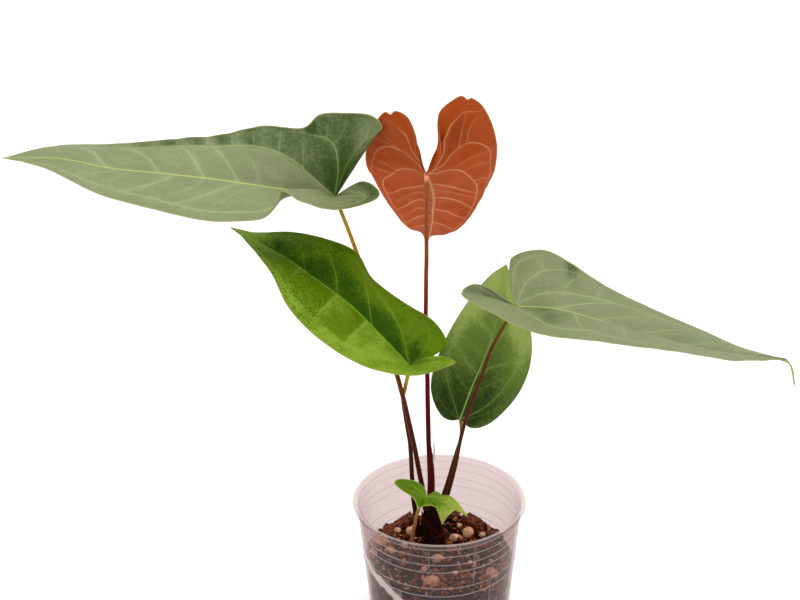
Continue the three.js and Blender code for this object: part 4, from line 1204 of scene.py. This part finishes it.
def makePot():
    # rows stand close together where a ring or the pale patch needs them
    rows = [np.linspace(0.5, 91.4, 22), np.arange(27, 67, 0.8)]
    rows += [height + pot["ringWidth"] * np.linspace(-2.6, 2.6, 13) for height in pot["rings"]]
    rows = np.unique(np.round(np.clip(np.concatenate(rows), 0.5, 91.6), 2))
    outer = [(z, wallRadius(z)) for z in rows]
    lip = [(91.9, 50.3), (92.0, 51.3), (92.2, 51.9), (92.6, 52.3), (93.2, 52.5), (93.9, 52.5), (94.5, 52.3),
           (94.85, 51.8), (95, 51.2), (94.9, 50.5), (94.5, 50.0), (93.8, 49.4)]
    inner = [(z, wallRadius(z) - pot["wall"]) for z in np.linspace(93, 2.2, 18)]
    profile = [(0, 0.0), (0, 20.0), (0, 38.0), (0, 41.4)] + outer + lip + inner
    profile += [(pot["floor"], wallRadius(2) - 2.0), (pot["floor"], 38.0), (pot["floor"], 20.0),
                (pot["floor"], 0.0)]
    z = np.array([p[0] for p in profile])
    r = np.array([p[1] for p in profile])
    onWall = np.zeros(len(profile))
    onWall[4:4 + len(outer)] = 1
    for height in pot["rings"]:
        r = r + onWall * pot["ringProud"] * np.exp(-((z - height) / pot["ringWidth"]) ** 2)
    columns = [np.linspace(-math.pi, math.pi, 330, endpoint=False)]
    columns += [math.radians(azimuth) + np.linspace(-1.6, 1.6, 11) / 46 for azimuth, _, _ in pot["ribs"]]
    theta = np.unique(np.round(np.concatenate(columns), 5))
    around = len(theta)
    Z, T = np.meshgrid(z[1:-1], theta, indexing="ij")
    R = np.broadcast_to(r[1:-1, None], Z.shape).copy()
    for azimuth, low, high in pot["ribs"]:
        across = (T - math.radians(azimuth)) * 46
        R += onWall[1:-1, None] * pot["ribProud"] * np.exp(-(across / pot["ribWidth"]) ** 2) \
            * smoothStep(low - 1, low + 1, Z) * smoothStep(high + 1, high - 1, Z)
    points = np.stack([np.cos(T) * R, np.sin(T) * R, Z], -1).reshape(-1, 3)
    grid = np.arange(Z.size).reshape(Z.shape)
    turned = np.roll(grid, -1, 1)
    faces = np.stack([grid[:-1], turned[:-1], turned[1:], grid[1:]], -1).reshape(-1, 4).tolist()
    low, high = len(points), len(points) + 1
    faces += [[turned[0, k], grid[0, k], low] for k in range(around)]
    faces += [[grid[-1, k], turned[-1, k], high] for k in range(around)]
    points = np.vstack([points, [(0, 0, 0), (0, 0, pot["floor"])]])
    mesh = newMesh("pot", points * mm, faces)
    recalcNormals(mesh)
    piece = newObject("visual_pot", mesh)
    # the drain holes, bored through the floor on a circle
    tree, start, end = startTree("drain holes in the floor", [
        ("Count", "Int", 8), ("Hole Radius", "Float", 0.0), ("Circle Radius", "Float", 0.0),
        ("Plastic", "Material", None)])
    circle = addNode(tree, "GeometryNodeMeshCircle", {"Vertices": start.outputs["Count"],
                                                      "Radius": start.outputs["Circle Radius"]})
    spots = addNode(tree, "GeometryNodeMeshToPoints", {0: circle.outputs[0]})
    drill = addNode(tree, "GeometryNodeMeshCylinder",
                    {"Vertices": 32, "Radius": start.outputs["Hole Radius"],
                     "Depth": 0.008})
    drills = addNode(tree, "GeometryNodeInstanceOnPoints",
                     {"Points": spots.outputs[0], "Instance": drill.outputs[0]})
    solid = addNode(tree, "GeometryNodeRealizeInstances", {0: drills.outputs[0]})
    cut = addNode(tree, "GeometryNodeMeshBoolean",
                  {"Mesh 1": start.outputs["Geometry"], "Mesh 2": solid.outputs[0]},
                  operation="DIFFERENCE", solver="FLOAT")
    real = addNode(tree, "GeometryNodeRealizeInstances", {0: cut.outputs[0]})
    skin = addNode(tree, "GeometryNodeSetMaterial",
                   {"Geometry": real.outputs[0], "Material": start.outputs["Plastic"]})
    tree.links.new(skin.outputs[0], end.inputs[0])
    addNodesModifier(piece, tree, {"Count": pot["holes"], "Hole Radius": pot["holeRadius"] * mm,
                                   "Circle Radius": pot["holeCircle"] * mm, "Plastic": makePotMaterial()})
    mesh = applyModifiers(piece)
    place = meshPoints(mesh) / mm
    azimuth = np.degrees(np.arctan2(place[:, 1], place[:, 0]))
    rugged = 2.2 * noiseAt(place, 5, 60, 3)
    # a pale patch low on the near left of the wall, as wide as a finger, running down and forward
    top = np.interp(azimuth, [-165, -159, -147, -136, -130, -118, -105],
                    [66, 64, 60, 57, 55, 49, 40]) + rugged
    bottom = np.interp(azimuth, [-165, -159, -147, -136, -126, -118, -105],
                       [62, 58, 53, 50, 44, 38, 26]) + rugged
    haze = smoothStep(-0.4, 0.4, top - place[:, 2]) * smoothStep(-0.4, 0.4, place[:, 2] - bottom)
    haze *= (azimuth > -168) & (azimuth < -104)
    setAttribute(mesh, "haze", 0.7 * haze)
    # rings, seams and the lip are painted milkier: partly thicker plastic, partly the rings' and the lip's
    # highlights painted in as thin pale lines
    height, outside = place[:, 2], np.hypot(place[:, 0], place[:, 1]) > wallRadius(place[:, 2]) - 0.3
    thick = smoothStep(94.3, 94.9, height) + smoothStep(1.6, 0.6, height) * 0.5
    for ring in pot["rings"]:
        thick = np.maximum(thick, outside * np.exp(-((height - ring) / 0.34) ** 2))
    for rib, low, high in pot["ribs"]:
        across = (azimuth - rib) * math.radians(46)
        thick = np.maximum(thick, 0.6 * outside * np.exp(-(across / 0.35) ** 2) * (height > low)
                           * (height < high))
    setAttribute(mesh, "thick", thick)
    finishPiece(piece, "frosted_plastic", "pot")
    print("pot ready", len(mesh.polygons))


makePot()


mix = {
    "height": 55, "lumps": 1.6, "rise": 3.0,
    "topCrumbs": 0.33, "sideCrumbs": 0.085,  # crumbs per mm2
    "crumb": (0.9, 2.7),  # smallest and largest half size in mm
    "fibres": 0.035, "fibreLength": 11, "fibreRadius": 0.16,
}


def mixTop(x, y):
    low = mix["lumps"] * (np.sin(0.33 * x + 0.8) * np.cos(0.29 * y - 0.4) + 0.5
                          * np.sin(0.61 * x - 0.52 * y)) / 1.5
    heap = mix["rise"] * np.exp(-((x + 4) ** 2 + (y - 2) ** 2) / 160)
    bank = 5.5 * np.exp(-(((x + 38) / 14) ** 2 + ((y + 14) / 22) ** 2))
    return mix["height"] - 0.6 + low + heap + bank


def makeMixMaterial():
    # coco fibre, composted bark and crushed pumice: rust-brown crumbs, pale grains, and near-black gaps
    # painted as shade
    material, tree = startMaterial("potting mix, damp coco and bark crumbs")
    place = addNode(tree, "ShaderNodeTexCoord").outputs["Object"]
    tint = addNode(tree, "ShaderNodeAttribute", attribute_name="tint").outputs["Fac"]
    grain = addNode(tree, "ShaderNodeTexNoise",
                    {"Vector": place, "Scale": 1500, "Detail": 4, "Roughness": 0.65})
    mixed = addNode(tree, "ShaderNodeMath", {0: grain.outputs["Fac"], 1: 0.35, 2: tint},
                    operation="MULTIPLY_ADD")
    shifted = addNode(tree, "ShaderNodeMath", {0: mixed.outputs[0], 1: 0.175}, operation="SUBTRACT")
    ramp = addNode(tree, "ShaderNodeValToRGB", {"Fac": shifted.outputs[0]})
    elements = ramp.color_ramp.elements
    elements[0].position, elements[0].color = 0.0, linear("#0c0201")
    elements[1].position, elements[1].color = 1.0, linear("#dcb690")
    for position, colour in ((0.25, "#2c0a02"), (0.48, "#662404"), (0.7, "#98440c"), (0.88, "#be7440")):
        elements.new(position).color = linear(colour)
    bump = addNode(tree, "ShaderNodeBump",
                   {"Height": grain.outputs["Fac"], "Strength": 0.9, "Distance": 0.0006})
    shader = addNode(tree, "ShaderNodeBsdfPrincipled",
                     {"Base Color": ramp.outputs[0], "Roughness": 0.75, "IOR": 1.4,
                      "Specular IOR Level": 0.12,
                      "Normal": bump.outputs[0]})
    addNode(tree, "ShaderNodeOutputMaterial", {"Surface": shader.outputs[0]})
    return material


def makeCrumbShapes():
    # eight rough crumbs of unit size that the scatter picks from
    shapes = []
    for k in range(8):
        points, faces = ico(2 if k % 2 else 1)
        stretch = np.array([1.0, 0.5 + 0.4 * ((k * 37) % 10) / 10, 0.35 + 0.5 * ((k * 53) % 10) / 10])
        points = points * (1 + 0.35 * noiseAt(points, 0.9, 70 + k)[:, None]) * stretch
        shapes.append(newObject(f"crumbShape{k}", newMesh(f"crumbShape{k}", points * mm, faces)))
        for polygon in shapes[-1].data.polygons:
            polygon.use_smooth = k % 3 == 0
    group = bpy.data.collections.new("crumb shapes")
    for shape in shapes:
        bpy.context.scene.collection.objects.unlink(shape)
        group.objects.link(shape)
    return group, shapes


def makeScatterTree():
    tree, start, end = startTree("crumbs scattered over a surface", [
        ("Shapes", "Collection", None), ("Per Square Metre", "Float", 1.0), ("Smallest", "Float", 1.0),
        ("Largest", "Float", 2.0), ("Seed", "Int", 1), ("Earth", "Material", None)])
    # density comes from the surface's own "cover" attribute
    cover = addNode(tree, "GeometryNodeInputNamedAttribute", {"Name": "cover"}, data_type="FLOAT")
    density = addNode(tree, "ShaderNodeMath", {0: cover.outputs[0], 1: start.outputs["Per Square Metre"]},
                      operation="MULTIPLY")
    spots = addNode(tree, "GeometryNodeDistributePointsOnFaces",
                    {"Mesh": start.outputs["Geometry"], "Density": density.outputs[0],
                     "Seed": start.outputs["Seed"]})
    shapes = addNode(tree, "GeometryNodeCollectionInfo", {"Collection": start.outputs["Shapes"],
                                                          "Separate Children": True, "Reset Children": True})
    turn = addNode(tree, "FunctionNodeRandomValue", {"Seed": 11}, data_type="FLOAT_VECTOR")
    turn.inputs["Max"].default_value = (6.283, 6.283, 6.283)
    size = addNode(tree, "FunctionNodeRandomValue", {"Seed": 12}, data_type="FLOAT")
    squared = addNode(tree, "ShaderNodeMath", {0: size.outputs[1], 1: 2.2}, operation="POWER")
    scaled = addNode(tree, "ShaderNodeMapRange",
                     {"Value": squared.outputs[0], "To Min": start.outputs["Smallest"],
                      "To Max": start.outputs["Largest"]})
    crumbs = addNode(tree, "GeometryNodeInstanceOnPoints",
                     {"Points": spots.outputs["Points"], "Instance": shapes.outputs[0],
                      "Pick Instance": True,
                      "Rotation": turn.outputs[0], "Scale": scaled.outputs[0]})
    tint = addNode(tree, "FunctionNodeRandomValue", {"Seed": 13}, data_type="FLOAT")
    held = addNode(tree, "GeometryNodeStoreNamedAttribute", {"Geometry": crumbs.outputs[0], "Name": "tint"},
                   data_type="FLOAT", domain="INSTANCE")
    tree.links.new(tint.outputs[1], held.inputs["Value"])
    real = addNode(tree, "GeometryNodeRealizeInstances", {0: held.outputs[0]})
    skin = addNode(tree, "GeometryNodeSetMaterial",
                   {"Geometry": real.outputs[0], "Material": start.outputs["Earth"]})
    tree.links.new(skin.outputs[0], end.inputs[0])
    return tree


def makeFibreTree():
    tree, start, end = startTree("loose fibres over a surface", [
        ("Per Square Metre", "Float", 1.0), ("Length", "Float", 0.01), ("Radius", "Float", 0.0002),
        ("Seed", "Int", 1), ("Earth", "Material", None)])
    spots = addNode(tree, "GeometryNodeDistributePointsOnFaces",
                    {"Mesh": start.outputs["Geometry"], "Density": start.outputs["Per Square Metre"],
                     "Seed": start.outputs["Seed"]})
    line = addNode(tree, "GeometryNodeCurvePrimitiveLine", {"Start": (0, 0, 0), "End": (1, 0, 0)})
    steps = addNode(tree, "GeometryNodeResampleCurve", {"Curve": line.outputs[0], "Count": 14})
    turn = addNode(tree, "FunctionNodeRandomValue", {"Seed": 21}, data_type="FLOAT_VECTOR")
    turn.inputs["Min"].default_value = (0, -0.5, 0)
    turn.inputs["Max"].default_value = (6.283, 0.5, 6.283)
    size = addNode(tree, "FunctionNodeRandomValue", {"Seed": 22}, data_type="FLOAT")
    scaled = addNode(tree, "ShaderNodeMath", {0: size.outputs[1], 1: start.outputs["Length"]},
                     operation="MULTIPLY")
    fibres = addNode(tree, "GeometryNodeInstanceOnPoints",
                     {"Points": spots.outputs["Points"], "Instance": steps.outputs[0],
                      "Rotation": turn.outputs[0],
                      "Scale": scaled.outputs[0]})
    tint = addNode(tree, "FunctionNodeRandomValue", {"Seed": 23}, data_type="FLOAT")
    held = addNode(tree, "GeometryNodeStoreNamedAttribute", {"Geometry": fibres.outputs[0], "Name": "tint"},
                   data_type="FLOAT", domain="INSTANCE")
    tree.links.new(tint.outputs[1], held.inputs["Value"])
    real = addNode(tree, "GeometryNodeRealizeInstances", {0: held.outputs[0]})
    place = addNode(tree, "GeometryNodeInputPosition")
    wander = addNode(tree, "ShaderNodeTexNoise", {"Vector": place.outputs[0], "Scale": 160, "Detail": 2})
    centred = addNode(tree, "ShaderNodeVectorMath", {0: wander.outputs["Color"]}, operation="SUBTRACT")
    centred.inputs[1].default_value = (0.5, 0.5, 0.5)
    bent = addNode(tree, "ShaderNodeVectorMath", {0: centred.outputs[0]}, operation="SCALE")
    bent.inputs["Scale"].default_value = 0.012
    moved = addNode(tree, "GeometryNodeSetPosition",
                    {"Geometry": real.outputs[0], "Offset": bent.outputs[0]})
    radius = addNode(tree, "GeometryNodeSetCurveRadius",
                     {"Curve": moved.outputs[0], "Radius": start.outputs["Radius"]})
    ring = addNode(tree, "GeometryNodeCurvePrimitiveCircle", {"Resolution": 4, "Radius": 1.0})
    tube = addNode(tree, "GeometryNodeCurveToMesh",
                   {"Curve": radius.outputs[0], "Profile Curve": ring.outputs[0],
                    "Fill Caps": True})
    if "Scale" in tube.inputs:
        tree.links.new(start.outputs["Radius"], tube.inputs["Scale"])
    whole = addNode(tree, "GeometryNodeRealizeInstances", {0: tube.outputs[0]})
    skin = addNode(tree, "GeometryNodeSetMaterial",
                   {"Geometry": whole.outputs[0], "Material": start.outputs["Earth"]})
    tree.links.new(skin.outputs[0], end.inputs[0])
    return tree


def keepInPot(mesh, clearance=0.15):
    # pulls a mesh's points inside the pot's inner wall, so that crumbs lie flat against it
    points = meshPoints(mesh) / mm
    limit = wallRadius(points[:, 2]) - pot["wall"] - clearance
    radius = np.hypot(points[:, 0], points[:, 1])
    points[:, :2] *= np.minimum(1, limit / np.maximum(radius, 1e-6))[:, None]
    points[:, 2] = np.maximum(points[:, 2], pot["floor"] + clearance)
    setPoints(mesh, points * mm)


def makeMix():
    earth = makeMixMaterial()
    rings, around = 46, 300
    theta = np.linspace(0, 2 * np.pi, around, endpoint=False)
    bottom = pot["floor"] + 0.4
    rows = []
    # up the side, then in over the top
    for v in np.linspace(0, 1, 60):
        z = bottom + (mixTop(np.cos(theta) * 44, np.sin(theta) * 44) - bottom) * v
        r = wallRadius(z) - pot["wall"] - 1.0
        rows.append(np.stack([np.cos(theta) * r, np.sin(theta) * r, z], -1))
    for v in np.linspace(1, 0, rings, endpoint=False)[1:]:
        r = (wallRadius(55) - pot["wall"] - 1.0) * v
        rows.append(np.stack([np.cos(theta) * r, np.sin(theta) * r,
                              mixTop(np.cos(theta) * r, np.sin(theta) * r)], -1))
    points = np.array(rows)
    shape = points.shape[:2]
    flat = points.reshape(-1, 3)
    dig = 1.1 * np.abs(noiseAt(flat, 4.5, 80, 3)) + 0.5 * np.abs(noiseAt(flat, 1.6, 81))
    radius = np.hypot(flat[:, 0], flat[:, 1])
    onTop = np.repeat(np.arange(len(rows)) >= 60, around)
    inward = np.where(onTop, 0, dig)
    flat[:, :2] *= (1 - inward / np.maximum(radius, 1))[:, None]
    flat[:, 2] -= np.where(onTop, dig, 0)
    grid = np.arange(len(flat)).reshape(shape)
    turned = np.roll(grid, -1, 1)
    faces = np.stack([grid[:-1], turned[:-1], turned[1:], grid[1:]], -1).reshape(-1, 4).tolist()
    top, base = len(flat), len(flat) + 1
    faces += [[grid[-1, k], turned[-1, k], top] for k in range(around)]
    faces += [[turned[0, k], grid[0, k], base] for k in range(around)]
    flat = np.vstack([flat, [(0, 0, float(mixTop(np.array(0.0), np.array(0.0)))), (0, 0, bottom)]])
    mesh = newMesh("mixBody", flat * mm, faces, earth)
    recalcNormals(mesh)
    # painted shade: the body's top, seen only between the crumbs, is painted near black for the shade in the
    # gaps
    tint = np.where(np.concatenate([onTop, [True, False]]), 0.03, 0.26) + 0.16 * noiseAt(flat, 6, 82)
    setAttribute(mesh, "tint", tint)
    onTop = np.concatenate([onTop, [True, False]])
    cover = np.where(onTop, 1.0, mix["sideCrumbs"] / mix["topCrumbs"])
    cover[flat[:, 2] < 4] = 0
    setAttribute(mesh, "cover", cover)
    body = newObject("visual_potting_mix", mesh)
    group, shapes = makeCrumbShapes()
    crumbs = newObject("visual_mix_crumbs", mesh.copy())
    addNodesModifier(crumbs, makeScatterTree(), {
        "Shapes": group, "Per Square Metre": mix["topCrumbs"] * 1e6, "Smallest": mix["crumb"][0],
        "Largest": mix["crumb"][1], "Seed": 4, "Earth": earth})
    crumbMesh = applyModifiers(crumbs)
    keepInPot(crumbMesh)
    fibreSource = mesh.copy()
    cut = bmesh.new()
    cut.from_mesh(fibreSource)
    bmesh.ops.delete(cut, geom=[v for v in cut.verts if v.co.z < 0.05 or v.co.xy.length > 0.04],
                     context="VERTS")
    cut.to_mesh(fibreSource)
    cut.free()
    fibres = newObject("visual_mix_fibres", fibreSource)
    addNodesModifier(fibres, makeFibreTree(), {
        "Per Square Metre": mix["fibres"] * 1e6, "Length": mix["fibreLength"] * mm,
        "Radius": mix["fibreRadius"] * mm, "Seed": 5, "Earth": earth})
    fibreMesh = applyModifiers(fibres)
    keepInPot(fibreMesh)
    keepInPot(mesh, 0.3)
    for shape in shapes:
        bpy.data.objects.remove(shape)
    bpy.data.collections.remove(group)
    finishPiece(body, "potting_mix", "potting_mix")
    finishPiece(crumbs, "potting_mix")
    finishPiece(fibres, "potting_mix")
    print("mix ready", len(crumbMesh.polygons), "crumb faces", len(fibreMesh.polygons), "fibre faces")


makeMix()


stones = {  # place, half sizes and turn
    "pumice_large_left": ((-37.5, 8.5, 57.5), (5.8, 5.4, 5.4), 0.3),
    "pumice_front_left": ((-31, -2, 55.5), (5, 4, 4), 0.9),
    "pumice_mid_left": ((-17, 22, 56), (4, 3.2, 3), 2.1),
    "pumice_back_right": ((19, 19, 56.5), (4.2, 3.5, 3.4), 1.4),
    "pumice_right": ((10, 14, 56), (3.4, 2.8, 2.6), 0.2),
    "pumice_front": ((-6, -31, 55), (5.4, 4.6, 4.2), 0.6),
    "pumice_front_right": ((31, -24, 56), (4, 3.4, 3.2), 2.6),
}

# small pumice grains that lie between the larger pieces: place and half sizes
pumiceGrains = [((-21.8, 6.2, 56), (2.6, 2.2, 2)), ((-1.5, -9.5, 57), (4.6, 2.8, 2.6)),
                ((-9.9, -18.7, 56), (2.2, 2, 1.8)), ((8.8, -23.3, 56), (1.8, 1.6, 1.5)),
                ((18.5, -13.2, 56.4), (1.6, 1.5, 1.4)), ((-26, 22, 57), (2.4, 2, 1.8)),
                ((28, 16, 57), (2, 1.8, 1.6)), ((-41.5, -7, 59), (3.2, 3, 3)),
                ((14, 27, 56.6), (1.8, 1.5, 1.4))]

barkChips = {  # place, half sizes, turn and tilt
    "bark_back_left": ((-23, 30, 58), (9, 3, 1.8), 0.5, 0.3),
    "bark_left_back": ((-33, 20, 57.5), (6, 3.2, 1.9), 1.2, 0.25),
    "bark_back": ((8, 38, 58), (6.5, 3.6, 2), 0.2, -0.3),
    "bark_back_right": ((23, 29, 58), (7, 4, 2.2), 2.5, 0.3),
    "bark_right": ((35, 14, 57.5), (5.6, 4, 2.4), 1.9, -0.3),
    "bark_right_front": ((27, 2, 57), (8, 3, 1.8), 0.5, 0.15),
}


def makeLumpMaterial(name, dark, middle, pale, scale, roughness):
    # broken mineral or bark: three tones in patches, pitted by a coarse bump
    material, tree = startMaterial(name)
    place = addNode(tree, "ShaderNodeTexCoord").outputs["Object"]
    patch = addNode(tree, "ShaderNodeTexNoise",
                    {"Vector": place, "Scale": scale, "Detail": 5, "Roughness": 0.65})
    pits = addNode(tree, "ShaderNodeTexVoronoi", {"Vector": place, "Scale": scale * 4})
    ramp = addNode(tree, "ShaderNodeValToRGB", {"Fac": patch.outputs["Fac"]})
    elements = ramp.color_ramp.elements
    elements[0].position, elements[0].color = 0.3, linear(dark)
    elements[1].position, elements[1].color = 0.68, linear(pale)
    elements.new(0.48).color = linear(middle)
    height = addNode(tree, "ShaderNodeMath", {0: pits.outputs["Distance"], 1: 0.5, 2: patch.outputs["Fac"]},
                     operation="MULTIPLY_ADD")
    bump = addNode(tree, "ShaderNodeBump",
                   {"Height": height.outputs[0], "Strength": 0.8, "Distance": 0.0006})
    shader = addNode(tree, "ShaderNodeBsdfPrincipled",
                     {"Base Color": ramp.outputs[0], "Roughness": roughness,
                      "IOR": 1.45, "Normal": bump.outputs[0]})
    addNode(tree, "ShaderNodeOutputMaterial", {"Surface": shader.outputs[0]})
    return material


def makeLoosePieces():
    pumice = makeLumpMaterial("pumice, crushed and dusty", "#a86c48", "#d6a27c", "#f0d2b4", 260, 0.85)
    bark = makeLumpMaterial("pine bark, chipped and damp", "#160502", "#5a240e", "#a3592a", 480, 0.8)
    ball, faces = ico(5)
    for seed, (name, (place, half, turn)) in enumerate(stones.items()):
        rough = 1 + 0.16 * noiseAt(ball, 0.8, 90 + seed, 3) + 0.05 * noiseAt(ball, 0.2, 95 + seed)
        flats = np.clip(rough, 0.7, 1.06)[:, None]
        points = ball * flats * np.array(half)
        c, s = math.cos(turn), math.sin(turn)
        points = points @ np.array([[c, s, 0], [-s, c, 0], [0, 0, 1]]) + np.array(place)
        mesh = newMesh(name, points * mm, faces, pumice)
        keepInPot(mesh)
        finishPiece(newObject("visual_" + name, mesh), "pumice", name)
    grainPoints, grainFaces = [], []
    small, smallFaces = ico(3)
    for seed, (place, half) in enumerate(pumiceGrains):
        rough = 1 + 0.22 * noiseAt(small, 0.8, 130 + seed, 3)
        grainFaces += [[i + seed * len(small) for i in f] for f in smallFaces]
        grainPoints.append(small * rough[:, None] * np.array(half) + np.array(place))
    mesh = newMesh("pumice_grains", np.vstack(grainPoints) * mm, grainFaces, pumice)
    keepInPot(mesh)
    finishPiece(newObject("visual_pumice_grains", mesh), "pumice")
    for seed, (name, (place, half, turn, tilt)) in enumerate(barkChips.items()):
        square = np.sign(ball) * np.abs(ball) ** 0.6
        layers = 0.12 * np.sign(np.sin(square[:, 2] * 9 + noiseAt(ball, 0.6, 110 + seed) * 3))
        points = square * (1 + 0.3 * noiseAt(ball, 0.5, 115 + seed, 4) + 0.12 * noiseAt(ball * [0.4, 2, 2],
                                                                                        0.25, 120, 3)
                           + layers * (np.abs(square[:, 2]) < 0.8))[:, None] * np.array(half) * 0.95
        c, s = math.cos(turn), math.sin(turn)
        ct, st = math.cos(tilt), math.sin(tilt)
        points = points @ np.array([[ct, 0, st], [0, 1, 0], [-st, 0, ct]])
        points = points @ np.array([[c, s, 0], [-s, c, 0], [0, 0, 1]]) + np.array(place)
        mesh = newMesh(name, points * mm, faces, bark)
        keepInPot(mesh)
        finishPiece(newObject("visual_" + name, mesh), "bark", name)
    print("loose pieces ready")


makeLoosePieces()
